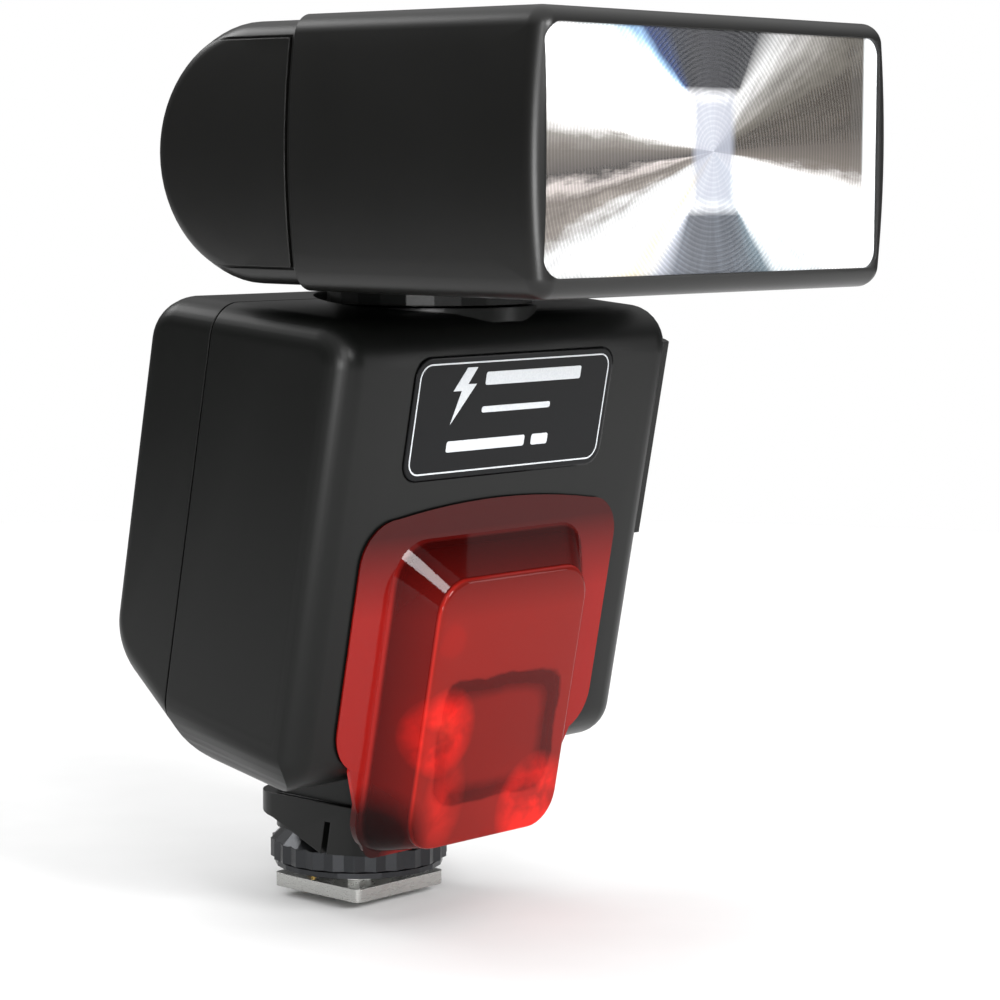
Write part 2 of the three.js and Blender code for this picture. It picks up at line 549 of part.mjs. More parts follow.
const footPlate = prism('z', roundedBox(-foot.width / 2, foot.width / 2, -foot.length / 2, foot.length / 2,
  foot.fillet), 0, foot.thick);
const pinBore = bar('z', lockPin.radius + gap, -5, lockPin.length + 3, 0, lockPin.y);
const contacts = [[0, contact.centreY], [-contact.pitch, contact.y], [0, contact.y + 0.7],
  [contact.pitch, contact.y]];
const contactRadius = (i) => (i === 0 ? contact.centreRadius : contact.radius);
const contactTop = contact.length - contact.below + 0.6 + gap;
const contactBores = contacts.map(([x, y], i) => bar('z', contactRadius(i) + gap, -5, contactTop, x, y));
piece('hot_shoe_foot', cut(footPlate.add(bar('z', foot.stemRadius, 0.5, foot.stemTop, 0, 0, fine)),
  pinBore, ...contactBores), steel, flash);
contacts.forEach(([x, y], i) => {
  const name = i === 0 ? 'centre_contact' : `data_contact_${i}`;
  piece(name, bar('z', contactRadius(i), -contact.below, contact.length - contact.below), brass, flash, x, y, 0);
});
piece('locking_pin', bar('z', lockPin.radius, -lockPin.below, lockPin.length - lockPin.below), steel, flash,
  0, lockPin.y, 0);

const bore = foot.stemRadius + gap;
piece('lock_washer', turned([[bore, 0], [washer.radius, 0], [washer.radius, washer.thick], [bore, washer.thick]]),
  darkSteel, flash, 0, 0, washer.bottom);
const ringBlank = turned([[bore, 0], [ring.radius + 1, 0], [ring.radius + 1, ring.rim],
  [ring.radius - 0.2, ring.rim], [ring.radius - ring.chamfer, ring.height], [bore, ring.height]]);
const knurl = prism('z', toothed(ring.radius, ring.flutes, ring.fluteDepth), -1, ring.height + 1);
piece('lock_ring', ringBlank.intersect(knurl), darkSteel, flash, 0, 0, washer.bottom + washer.thick + gap);

// ---------------------------------------------------------------- neck

const flangeBottom = swivel.seat + gap / 2 + 0.1;
piece('swivel_retainer', turned([
  [swivel.collar + gap, swivel.top - gap - keeper.thick],
  [swivel.flange + gap, swivel.top - gap - keeper.thick],
  [swivel.flange + gap, swivel.seat + gap],
  [swivel.flange + gap + keeper.rim, swivel.seat + gap],
  [swivel.flange + gap + keeper.rim, swivel.top - gap],
  [swivel.collar + gap, swivel.top - gap],
]), blackPlastic, neckGroup);
const neckShape = add(
  bar('z', swivel.flange, flangeBottom, flangeBottom + swivel.flangeThick, 0, 0, fine),
  bar('z', swivel.collar, flangeBottom, swivel.top, 0, 0, fine),
  prism('z', roundedBox(-pillar.halfWidth, pillar.halfWidth, -pillar.halfDepth, pillar.halfDepth, 2),
    swivel.top, head.tilt),
  bar('x', drum.radius, -drum.halfWidth, drum.halfWidth, 0, head.tilt, 32),
);
piece('neck', cut(neckShape, bar('z', pillar.cable, 0, head.tilt),
  bar('x', axle.radius + gap, -60, 60, 0, head.tilt, 24)), blackPlastic, neckGroup);
piece('tilt_axle', bar('x', axle.radius, -axle.halfLength, axle.halfLength, 0, 0, 24), steel, neckGroup,
  0, 0, head.tilt);
const springFrom = drum.halfWidth + gap;
const axleBore = bar('x', axle.radius + gap, -60, 60, 0, 0, 24);
piece('click_spring', add(
  bar('x', axle.radius + 2, springFrom, springFrom + click.springThick, 0, 0, 24),
  block(springFrom, springFrom + click.springThick, -2, 2, 0, click.radius + 1),
).subtract(axleBore), steel, neckGroup, 0, 0, head.tilt);

// ---------------------------------------------------------------- head shells

// The head's section across: flat top and bottom, round corners and slightly bulging sides.
function barrel(inset) {
  const halfHeight = head.halfHeight - inset;
  const side = head.halfWidth - head.bulge - inset;
  const radius = Math.max(head.edge - inset, 1);
  const outline = new THREE.Shape();
  outline.moveTo(-side + radius, -halfHeight);
  outline.lineTo(side - radius, -halfHeight);
  outline.absarc(side - radius, -halfHeight + radius, radius, -Math.PI / 2, 0);
  outline.quadraticCurveTo(side + 2 * head.bulge, 0, side, halfHeight - radius);
  outline.absarc(side - radius, halfHeight - radius, radius, 0, Math.PI / 2);
  outline.lineTo(-side + radius, halfHeight);
  outline.absarc(-side + radius, halfHeight - radius, radius, Math.PI / 2, Math.PI);
  outline.quadraticCurveTo(-side - 2 * head.bulge, 0, -side, -halfHeight + radius);
  outline.absarc(-side + radius, -halfHeight + radius, radius, Math.PI, 1.5 * Math.PI);
  return outline;
}

// The head's side outline: square in front, and half a circle about the tilt axis behind.
function dOutline(front, radius) {
  const outline = new THREE.Shape();
  outline.moveTo(front, -radius);
  outline.lineTo(0, -radius);
  outline.absarc(0, 0, radius, -Math.PI / 2, Math.PI / 2);
  outline.lineTo(front, radius);
  outline.closePath();
  return outline;
}

function headForm(inset, front, bevel) {
  const half = head.halfWidth - inset;
  const [bevelSteps, curveSteps] = inset < wall ? [2, 12] : [1, 8];
  const side = prism('x', dOutline(front, head.halfHeight - inset), -half, half, bevel, bevelSteps, curveSteps);
  const section = prism('y', barrel(inset), front, 40, inset > 0 ? 0 : 1.2, 1, 3);
  return section.intersect(side);
}

const headOuter = headForm(0, head.front, head.edge);
const headRearOuter = headForm(headStep, head.front - 10, head.edge);
const headInner = headForm(wall, head.front + window.lip, 1);
const headRearInner = headForm(headStep + wall, head.front - 10, 2)
  .intersect(block(4.2 - head.halfWidth, head.halfWidth - 4.2, -80, 80, -80, 80));
const frontSpace = block(-60, 60, -90, headSeam - gap / 2, -60, 60);
const rearSpace = block(-60, 60, headSeam + gap / 2, 60, -60, 60);

const windowOutline = (grow) => roundedBox(-window.halfWidth - grow, window.halfWidth + grow,
  window.bottom - grow, window.top + grow, window.corner + grow);
const windowHole = prism('y', windowOutline(0), head.front - 5, head.front + window.lip + 0.5);

// Seats for the guide rods and the lead screw, on the side walls.
function seatAt(from, z, side) {
  const reach = ear.out + 1.6;
  const [x0, x1] = side > 0 ? [rod.x - 2.4, reach] : [-reach, -rod.x + 2.4];
  return block(x0, x1, from, from + seat.thick, z - ear.halfHeight, z + ear.halfHeight);
}
const seats = [seat.frontFrom, seat.rearFrom].flatMap((from) => [
  seatAt(from, rod.z, 1), seatAt(from, rod.z, -1), seatAt(from, screw.z, 1)]);
const rodBores = [[rod.x, rod.z], [-rod.x, rod.z], [rod.x, screw.z]].map(
  ([x, z]) => bar('y', rod.radius + gap, -90, 0, x, z));
const frontSeats = cut(add(...seats).intersect(headOuter), ...rodBores);
piece('head_front_shell', cut(headOuter, headInner, windowHole).intersect(frontSpace).add(frontSeats),
  blackPlastic, headGroup);

// The D-shaped cover on each side sits in a shallow pocket of the rear shell.
function capOutline(grow) {
  const radius = cap.radius - headStep + grow;
  const halfHeight = cap.halfHeight + grow;
  const start = Math.asin(halfHeight / radius);
  const front = cap.front - grow;
  const outline = new THREE.Shape();
  outline.moveTo(front, -halfHeight);
  outline.lineTo(radius * Math.cos(start), -halfHeight);
  outline.absarc(0, 0, radius, -start, start);
  outline.lineTo(front, halfHeight);
  outline.closePath();
  return outline;
}
const rearSide = head.halfWidth - headStep;
const pocketFloor = rearSide - cap.deep;
const pockets = [1, -1].map((side) => (side > 0
  ? prism('x', capOutline(gap), pocketFloor, 60, 0, 1, 10)
  : prism('x', capOutline(gap), -60, -pocketFloor, 0, 1, 10)));
const slotBox = block(-slot.halfWidth, slot.halfWidth, -slot.reach, 60, -60, slot.reach);
const webs = [1, -1].map((side) => {
  const [x0, x1] = side > 0 ? [web.inner, web.inner + web.thick] : [-web.inner - web.thick, -web.inner];
  return block(x0, x1, headSeam + gap / 2, 60, -60, 60).intersect(headRearOuter);
});
const rearHead = add(headRearOuter.subtract(headRearInner).intersect(rearSpace), ...webs);
piece('head_rear_shell', cut(rearHead, slotBox, axleBore, ...pockets), blackPlastic, headGroup);
const capTrim = headForm(headStep - cap.proud, head.front - 10, head.edge);
piece('side_cap_right', prism('x', capOutline(0), pocketFloor + gap, rearSide + cap.proud, 0, 1, 10)
  .intersect(capTrim), blackPlastic, headGroup);
piece('side_cap_left', prism('x', capOutline(0), -rearSide - cap.proud, -pocketFloor - gap, 0, 1, 10)
  .intersect(capTrim), blackPlastic, headGroup);

// ---------------------------------------------------------------- lens, reflector and zoom drive

const lensFace = head.front + 0.5;
const brimFront = head.front + window.lip + gap;
const brimOutline = roundedBox(4 - window.halfWidth, window.halfWidth - 4, window.bottom - 0.5,
  head.halfHeight - wall - gap, 1);
piece('fresnel_lens', add(
  prism('y', windowOutline(-gap), lensFace, brimFront + 0.2),
  prism('y', brimOutline, brimFront, brimFront + window.brim),
), clearPlastic, headGroup);

// The reflector is a parabolic trough with end plates; it carries the tube and rides on the rods.
function troughFill(skin) {
  const steps = 10;
  const half = trough.halfHeight + skin;
  const vertex = trough.front + trough.depth + skin;
  const outline = new THREE.Shape();
  for (let i = 0; i <= steps; i += 1) {
    const share = (2 * i) / steps - 1;
    const depth = vertex - trough.depth * share ** 2 - skin * share ** 2;
    if (i === 0) outline.moveTo(depth, share * half);
    else outline.lineTo(depth, share * half);
  }
  outline.closePath();
  return outline;
}
const focus = trough.front + trough.depth - trough.halfHeight ** 2 / (4 * trough.depth);
const troughBody = prism('x', troughFill(trough.skin), -trough.halfWidth, trough.halfWidth);
const troughHollow = prism('x', troughFill(0), -trough.halfWidth + trough.skin, trough.halfWidth - trough.skin)
  .translate([0, -0.05, 0]);
const earRear = trough.front + trough.depth;
function earAt(z, side) {
  const [x0, x1] = side > 0 ? [trough.halfWidth - 0.8, ear.out] : [-ear.out, -trough.halfWidth + 0.8];
  return block(x0, x1, earRear - ear.thick - 2, earRear - 2, z - ear.halfHeight, z + ear.halfHeight);
}
const earLink = [1, -1].map((side) => {
  const [x0, x1] = side > 0 ? [trough.halfWidth - 0.8, trough.halfWidth + 1.2]
    : [-trough.halfWidth - 1.2, -trough.halfWidth + 0.8];
  return block(x0, x1, earRear - ear.thick - 2, earRear - 2, rod.z, -rod.z);
});
piece('reflector', cut(
  add(troughBody, ...earLink, earAt(rod.z, 1), earAt(rod.z, -1), earAt(screw.z, 1)), troughHollow,
  bar('x', tube.radius + gap, -60, 60, focus, 0), ...rodBores,
), aluminium, headGroup);
piece('flash_tube', bar('x', tube.radius, -tube.halfLength, tube.halfLength), glass, headGroup, 0, focus, 0);
piece('guide_rod_right', bar('y', rod.radius, rod.front, rod.rear), steel, headGroup, rod.x, 0, rod.z);
piece('guide_rod_left', bar('y', rod.radius, rod.front, rod.rear), steel, headGroup, -rod.x, 0, rod.z);
const gearFrom = screw.rear - screw.face;
const gearOutline = toothed(screw.gear, screw.teeth, 0.4);
piece('lead_screw', add(bar('y', screw.radius, rod.front, gearFrom + 0.2),
  prism('y', gearOutline, gearFrom, screw.rear)), steel, headGroup, rod.x, 0, screw.z);
piece('motor_pinion', add(prism('y', toothed(pinion.radius, pinion.teeth, 0.4), gearFrom, screw.rear),
  bar('y', pinion.shaft, screw.rear - 0.2, motor.front - gap, 0, 0, 12)), brass, headGroup, pinion.x, 0, screw.z);
piece('zoom_motor', bar('y', motor.radius, motor.front, motor.front + motor.length, 0, 0, 20), steel, headGroup,
  pinion.x, 0, screw.z);

// Click plate on the head's right web: a notched disc that the click spring rests in.
const plateTo = web.inner - gap;
piece('click_plate', prism('x', toothed(click.radius, 12, click.notch), plateTo - click.plateThick, plateTo)
  .subtract(axleBore), steel, headGroup);

export default flash;
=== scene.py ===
# %% [markdown]
# # A speedlight flash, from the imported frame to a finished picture
# The frame already holds every part at its real size and every joint. This file gives the flash its
# looks: smooth moulded shells in place of the faceted ones, a ribbed lens, a red window, a knurled
# ring, and a real material on every piece. Work goes from the camera to the lights, then to the
# materials, then piece by piece down from the head to the foot.

# %% Load the frame
import json
import math

import bmesh
import bpy
from mathutils import Matrix, Vector

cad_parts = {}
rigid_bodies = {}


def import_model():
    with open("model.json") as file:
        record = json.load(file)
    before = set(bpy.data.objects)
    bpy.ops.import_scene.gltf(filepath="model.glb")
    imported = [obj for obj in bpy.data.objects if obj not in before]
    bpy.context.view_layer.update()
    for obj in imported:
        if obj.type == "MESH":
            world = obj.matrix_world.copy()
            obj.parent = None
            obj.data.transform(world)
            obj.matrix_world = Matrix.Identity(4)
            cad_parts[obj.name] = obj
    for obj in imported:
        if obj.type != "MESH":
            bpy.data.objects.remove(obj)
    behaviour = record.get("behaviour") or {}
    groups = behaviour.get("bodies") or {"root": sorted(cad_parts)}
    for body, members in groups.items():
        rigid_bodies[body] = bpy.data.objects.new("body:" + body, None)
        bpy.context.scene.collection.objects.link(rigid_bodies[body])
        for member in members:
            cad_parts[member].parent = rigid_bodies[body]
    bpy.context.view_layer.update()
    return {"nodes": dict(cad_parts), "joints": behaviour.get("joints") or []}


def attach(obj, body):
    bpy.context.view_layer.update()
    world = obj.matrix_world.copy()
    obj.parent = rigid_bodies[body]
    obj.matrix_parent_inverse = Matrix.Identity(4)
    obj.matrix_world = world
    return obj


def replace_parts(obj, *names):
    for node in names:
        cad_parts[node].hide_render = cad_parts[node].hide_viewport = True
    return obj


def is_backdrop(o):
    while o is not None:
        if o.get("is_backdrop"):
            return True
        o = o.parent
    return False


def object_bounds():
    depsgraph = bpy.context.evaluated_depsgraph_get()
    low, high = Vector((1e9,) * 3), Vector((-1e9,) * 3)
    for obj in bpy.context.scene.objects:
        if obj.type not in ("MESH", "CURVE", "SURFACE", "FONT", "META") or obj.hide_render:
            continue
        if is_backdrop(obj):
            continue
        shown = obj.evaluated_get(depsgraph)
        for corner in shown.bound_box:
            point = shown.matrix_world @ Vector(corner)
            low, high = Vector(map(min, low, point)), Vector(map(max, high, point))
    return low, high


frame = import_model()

MM = 0.001
joint_at = {j["name"]: Vector(j["pos_m"]) / MM for j in frame["joints"] if j.get("pos_m")}
TILT = joint_at["tilt"]
print("tilt axis at", [round(v, 1) for v in TILT], "mm")

# %% [markdown]
# ## Camera
# A long lens from the left, a little above the middle of the flash. A long lens keeps the parallel
# edges of a product nearly parallel, which is why product pictures are taken with one.

# %% Place the camera
CAMERA_AT = Vector((-0.3279, -0.3242, 0.1077))
LOOK = Vector((0.7383, 0.6661, -0.1065)).normalized()
ROLL = math.radians(0.217)

camera_data = bpy.data.cameras.new("camera")
camera_data.lens = 111.87
camera_data.sensor_width = 36.0
camera_data.clip_end = 50
camera = bpy.data.objects.new("camera", camera_data)
bpy.context.scene.collection.objects.link(camera)
bpy.context.scene.camera = camera
across = LOOK.cross(Vector((0, 0, 1))).normalized()
down = LOOK.cross(across)
right = across * math.cos(ROLL) - down * math.sin(ROLL)
up = -(across * math.sin(ROLL) + down * math.cos(ROLL))
turn = Matrix((right, up, -LOOK)).transposed()
camera.matrix_world = Matrix.Translation(CAMERA_AT) @ turn.to_4x4()
print("camera looks along", tuple(round(v, 3) for v in LOOK))

# %% [markdown]
# ## Floor and light
# Black plastic is drawn by its highlights, so the studio decides its shape. A broad softbox near the
# camera lights the rounded edges that face it, a second one rakes the other side, and the room is
# white above and dim around, so that flat black faces stay black. The camera itself sees plain white.

# %% Helpers for colours, nodes, lamps and materials


def linear(code):
    """An sRGB hex colour as the linear values that a shader wants."""
    parts = [int(code[i:i + 2], 16) / 255 for i in (1, 3, 5)]
    return [p / 12.92 if p <= 0.04045 else ((p + 0.055) / 1.055) ** 2.4 for p in parts] + [1.0]


def add_node(tree, kind, inputs=None, **settings):
    """Adds a node with its settings; an input is a value or another node's output socket."""
    node = tree.nodes.new(kind)
    for name, value in settings.items():
        setattr(node, name, value)
    for name, value in (inputs or {}).items():
        if isinstance(value, bpy.types.NodeSocket):
            tree.links.new(value, node.inputs[name])
        else:
            node.inputs[name].default_value = value
    return node


def softbox(name, place, target, size, watts):
    light = bpy.data.lights.new(name, "AREA")
    light.shape = "RECTANGLE"
    light.size, light.size_y = size
    light.energy = watts
    lamp = bpy.data.objects.new(name, light)
    bpy.context.scene.collection.objects.link(lamp)
    lamp.location = place
    lamp.rotation_euler = (Vector(target) - Vector(place)).to_track_quat("-Z", "Y").to_euler()
    return lamp


def material(name):
    made = bpy.data.materials.new(name)
    made.use_nodes = True
    made.node_tree.nodes.clear()
    return made, made.node_tree


def finish_material(tree, shader):
    add_node(tree, "ShaderNodeOutputMaterial", {"Surface": shader.outputs[0]})


print("white as linear light:", linear("#ffffff"))

# %% [markdown]
# The room could be a painted picture, but a ramp by height is enough: dim to the sides, brighter than
# white overhead. A Light Path node shows the camera plain white instead. The softboxes are area lamps,
# placed where the rounded edges of the shells mirror them towards the camera.

# %% Room and softboxes
DIM_ROOM = (0.16, 0.16, 0.16, 1)
BRIGHT_CEILING = (1.6, 1.6, 1.6, 1)

world = bpy.data.worlds.new("studio")
bpy.context.scene.world = world
world.use_nodes = True
sky = world.node_tree
sky.nodes.clear()
place = add_node(sky, "ShaderNodeTexCoord")
height = add_node(sky, "ShaderNodeSeparateXYZ", {"Vector": place.outputs["Generated"]})
room = add_node(sky, "ShaderNodeValToRGB", {"Fac": height.outputs["Z"]})
room.color_ramp.elements[0].position = 0.30
room.color_ramp.elements[0].color = DIM_ROOM
room.color_ramp.elements[1].position = 0.95
room.color_ramp.elements[1].color = BRIGHT_CEILING
dim = add_node(sky, "ShaderNodeBackground", {"Color": room.outputs["Color"], "Strength": 1.0})
bright = add_node(sky, "ShaderNodeBackground", {"Color": (1, 1, 1, 1), "Strength": 1.0})
ray = add_node(sky, "ShaderNodeLightPath")
pick = add_node(sky, "ShaderNodeMixShader", {0: ray.outputs["Is Camera Ray"], 1: dim.outputs[0],
                                             2: bright.outputs[0]})
add_node(sky, "ShaderNodeOutputWorld", {"Surface": pick.outputs[0]})
bpy.context.scene.view_settings.view_transform = "Standard"

# name, place, aimed at, size, watts
LAMPS = (("key", (-0.75, -0.95, 0.55), (0, -0.02, 0.09), (0.25, 0.6), 4.5),
         ("top front", (-0.12, -0.80, 0.42), (0, -0.02, 0.06), (0.25, 0.2), 6),
         ("edge", (-0.90, -0.80, 0.01), (0, -0.04, 0.10), (0.3, 0.3), 8),
         ("side", (0.75, -0.75, 0.10), (0, 0, 0.06), (0.15, 0.5), 1.2),
         ("back", (-0.25, 1.1, 0.9), (0, 0, 0.08), (0.6, 0.4), 5))
for lamp_settings in LAMPS:
    softbox(*lamp_settings)
print("studio:", len(LAMPS), "softboxes")

# %% [markdown]
# The floor is matt paper, a disc that ends inside the zone where it is already pure white, so that no
# edge shows. Its fibres are a fine noise between two pale greys, and they keep the shadow from being flat.

# %% Paper floor
FLOOR_DROP = 0.0014
FLOOR_RADIUS = 0.5
FLOOR_SIDES = 96

paper, tree = material("matt_paper_floor")
where = add_node(tree, "ShaderNodeTexCoord")
fibre = add_node(tree, "ShaderNodeTexNoise", {"Vector": where.outputs["Object"], "Scale": 60.0})
tone = add_node(tree, "ShaderNodeValToRGB", {"Fac": fibre.outputs["Fac"]})
tone.color_ramp.elements[0].color = linear("#e8e8e8")
tone.color_ramp.elements[1].color = linear("#eeeeee")
finish_material(tree, add_node(tree, "ShaderNodeBsdfPrincipled",
                               {"Base Color": tone.outputs["Color"], "Roughness": 0.9}))
floor_mesh = bpy.data.meshes.new("floor")
angles = [math.tau * k / FLOOR_SIDES for k in range(FLOOR_SIDES)]
rim = [(FLOOR_RADIUS * math.cos(a), FLOOR_RADIUS * math.sin(a), 0) for a in angles]
floor_mesh.from_pydata(rim, [], [tuple(range(FLOOR_SIDES))])
floor_mesh.materials.append(paper)
floor = bpy.data.objects.new("floor", floor_mesh)
floor.location.z = -FLOOR_DROP
bpy.context.scene.collection.objects.link(floor)
floor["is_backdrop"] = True
print("floor at", round(-FLOOR_DROP / MM, 1), "mm")

# %% [markdown]
# ## Plastics
# The shells are injection-moulded ABS with a fine spark-eroded texture: the steel mould was pitted by
# sparks, and the plastic copies the pits. That scatters light into soft highlights. The pits are about
# 0.1 mm, too fine to show, so they are drawn at 0.35 mm. A Bevel node softens the shading of the
# small edges that are too short to model.

# %% Moulded ABS


def moulded(name, code, roughness, grain_mm, depth, edge_mm=0.25, specular=0.35):
    """Textured moulded plastic: pits as bump, slow changes in gloss, and soft small edges."""
    made, tree = material(name)
    where = add_node(tree, "ShaderNodeTexCoord")
    pits = add_node(tree, "ShaderNodeTexNoise", {"Vector": where.outputs["Object"],
                                                 "Scale": 1000 / grain_mm, "Detail": 2.0})
    cloud = add_node(tree, "ShaderNodeTexNoise", {"Vector": where.outputs["Object"],
                                                  "Scale": 1000 / 22, "Detail": 4.0})
    tint = add_node(tree, "ShaderNodeValToRGB", {"Fac": cloud.outputs["Fac"]})
    base = linear(code)
    tint.color_ramp.elements[0].color = [v * 0.88 for v in base[:3]] + [1]
    tint.color_ramp.elements[1].color = [v * 1.12 for v in base[:3]] + [1]
    gloss = add_node(tree, "ShaderNodeMapRange", {"Value": cloud.outputs["Fac"], "To Min": roughness - 0.04,
                                                  "To Max": roughness + 0.05})
    soft = add_node(tree, "ShaderNodeBevel", {"Radius": edge_mm * MM}, samples=4)
    relief = add_node(tree, "ShaderNodeBump", {"Height": pits.outputs["Fac"], "Strength": 0.35,
                                               "Distance": depth * MM, "Normal": soft.outputs["Normal"]})
    finish_material(tree, add_node(tree, "ShaderNodeBsdfPrincipled", {
        "Base Color": tint.outputs["Color"], "Roughness": gloss.outputs["Result"], "IOR": 1.53,
        "Specular IOR Level": specular, "Normal": relief.outputs["Normal"]}))
    return made


# Satin black ABS: the faces stay dark and each rounding draws a soft grey line.
head_abs = moulded("moulded_abs_head", "#0b0b0a", 0.33, 0.35, 0.012, specular=0.34)
# The same plastic from another mould, a little duller and greener.
body_abs = moulded("moulded_abs_body", "#080908", 0.34, 0.35, 0.012, specular=0.21)
# Untextured inner faces: hardly any shine, so that openings look deep.
inner_abs = moulded("moulded_abs_inside", "#0d0d0d", 0.6, 0.6, 0.02, specular=0.2)
# Moulded silicone rubber: grey, and softer in its shine than the shell around it.
key_rubber = moulded("silicone_rubber_keys", "#3a3d40", 0.55, 0.3, 0.01)
# Acrylic from a polished mould: a clear, dark mirror image on a flat plate.
cover_gloss = moulded("polished_acrylic_black", "#08090b", 0.14, 3.0, 0.003, specular=0.14)
print("plastics:", head_abs.name, body_abs.name, key_rubber.name, cover_gloss.name)

# %% [markdown]
# ## Metals
# The foot is nickel-plated steel, turned and tumbled, the lock ring is blackened aluminium, the
# contacts are gold-flashed brass, and the reflector is bright-rolled aluminium. A metal's colour is
# the colour of its highlights, and fine turning or rolling marks stretch them.

# %% Turned, plated and rolled metal


def worked_metal(name, code, roughness, stretch, mark_mm, depth):
    """Metal with fine tool marks: noise squeezed along one axis, as a lathe or a roller leaves it."""
    made, tree = material(name)
    where = add_node(tree, "ShaderNodeTexCoord")
    squeeze = add_node(tree, "ShaderNodeMapping", {"Vector": where.outputs["Object"], "Scale": stretch})
    marks = add_node(tree, "ShaderNodeTexNoise", {"Vector": squeeze.outputs["Vector"],
                                                  "Scale": 1000 / mark_mm, "Detail": 3.0})
    rough = add_node(tree, "ShaderNodeMapRange", {"Value": marks.outputs["Fac"], "To Min": roughness * 0.75,
                                                  "To Max": roughness * 1.3})
    tint = add_node(tree, "ShaderNodeValToRGB", {"Fac": marks.outputs["Fac"]})
    base = linear(code)
    tint.color_ramp.elements[0].color = [v * 0.85 for v in base[:3]] + [1]
    tint.color_ramp.elements[1].color = base
    soft = add_node(tree, "ShaderNodeBevel", {"Radius": 0.12 * MM}, samples=4)
    relief = add_node(tree, "ShaderNodeBump", {"Height": marks.outputs["Fac"], "Strength": 0.3,
                                               "Distance": depth * MM, "Normal": soft.outputs["Normal"]})
    finish_material(tree, add_node(tree, "ShaderNodeBsdfPrincipled", {
        "Base Color": tint.outputs["Color"], "Metallic": 1.0, "Roughness": rough.outputs["Result"],
        "Normal": relief.outputs["Normal"]}))
    return made


# Tumbled nickel plate: a bright, slightly cloudy shine.
nickel = worked_metal("nickel_plated_steel", "#b9b9b6", 0.28, (1, 1, 6), 1.2, 0.01)
# Ground spring and rod steel: cooler, with fine lines along its length.
ground = worked_metal("ground_steel", "#9b9da0", 0.3, (1, 8, 1), 0.9, 0.01)
# Black anodised aluminium: a dark metal whose knurls still catch light.
blackened = worked_metal("blackened_aluminium", "#3c3d3f", 0.34, (1, 1, 5), 0.8, 0.01)
# A gold flash on brass: the warm dots of the contacts.
gold = worked_metal("gold_flashed_brass", "#d9b25a", 0.22, (1, 1, 4), 0.8, 0.005)
print("metals:", nickel.name, ground.name, blackened.name, gold.name)

# %% [markdown]
# ## Shapes that the shells share
# A moulded box of this kind is one outline with rounded corners, carried from side to side, and drawn
# in near each side along a quarter circle. One function makes that surface for the head and for the
# body, so that their edges are true roundings and catch the light along their whole length.

# %% Round-edged slabs


def round_outline(corners, insets, steps):
    """Points of a polygon with rounded corners. Each edge is first moved in by its own inset."""
    count = len(corners)
    lines = []
    for i, (u, v, _) in enumerate(corners):
        ahead = Vector(corners[(i + 1) % count][:2]) - Vector((u, v))
        ahead.normalize()
        inward = Vector((-ahead.y, ahead.x))
        lines.append((Vector((u, v)) + inward * insets[i], ahead, inward))
    points = []
    for i, (_, _, radius) in enumerate(corners):
        base, before, in_before = lines[i - 1]
        origin, after, _ = lines[i]
        sine = before.cross(after)
        corner = base + before * ((origin - base).cross(after) / sine)
        bend = math.acos(max(-1, min(1, before.dot(after))))
        round_by = max(radius - (insets[i - 1] + insets[i]) / 2, 0.12)
        start = corner - before * round_by * math.tan(bend / 2)
        middle = start + in_before * round_by
        first = math.atan2(-in_before.y, -in_before.x)
        for k in range(steps + 1):
            angle = first + bend * k / steps
            points.append((middle.x + round_by * math.cos(angle), middle.y + round_by * math.sin(angle)))
    return points


def side_stations(half, radii, steps):
    """Distances from the middle where a slab gets a ring: close together along each rounding."""
    found = {0.0}
    for radius in radii:
        for k in range(steps + 1):
            found.add(round(half - radius * (1 - math.sin(math.pi / 2 * k / steps)), 4))
    return sorted(found)


def inset_at(x, half, radius):
    """How far a rounding of that radius has drawn an edge in, at distance x from the middle."""
    over = max(0.0, (abs(x) - (half - radius)) / radius)
    return radius * (1 - math.sqrt(max(0.0, 1 - over * over)))


def mesh_piece(name, vertices, faces, finish, sharp_deg=32):
    """A smooth-shaded object from points in millimetres, with edges sharper than the angle kept crisp."""
    mesh = bpy.data.meshes.new(name)
    mesh.from_pydata([Vector(v) * MM for v in vertices], [], faces)
    return object_of(name, mesh, finish, sharp_deg)


def object_of(name, mesh, finish, sharp_deg=32):
    work = bmesh.new()
    work.from_mesh(mesh)
    bmesh.ops.remove_doubles(work, verts=work.verts, dist=0.002 * MM)
    bmesh.ops.dissolve_degenerate(work, edges=work.edges, dist=0.001 * MM)
    bmesh.ops.recalc_face_normals(work, faces=work.faces)
    work.to_mesh(mesh)
    work.free()
    mesh.materials.clear()
    mesh.materials.append(finish)
    mesh.shade_smooth()
    mesh.set_sharp_from_angle(angle=math.radians(sharp_deg))
    made = bpy.data.objects.new(name, mesh)
    bpy.context.scene.collection.objects.link(made)
    return made


print("a quarter rounding of 2 mm is reached in", len(side_stations(10, [2], 9)) - 1, "steps")

# %% [markdown]
# A skin through rings makes any form whose section changes along one direction, and Blender's exact
# boolean cuts the openings. A prism, a plate with a rounded rim and a turned piece are all such skins.

# %% Skins, cuts and simple pieces


def join_rings(rings):
    """Vertices and faces of a skin through rings of equal length, with a cap on each end."""
    count = len(rings[0])
    vertices = [point for ring in rings for point in ring]
    faces = []
    for r in range(len(rings) - 1):
        for i in range(count):
            j = (i + 1) % count
            faces.append((r * count + i, r * count + j, (r + 1) * count + j, (r + 1) * count + i))
    faces.append(tuple(range(count))[::-1])
    last = (len(rings) - 1) * count
    faces.append(tuple(range(last, last + count)))
    return vertices, faces


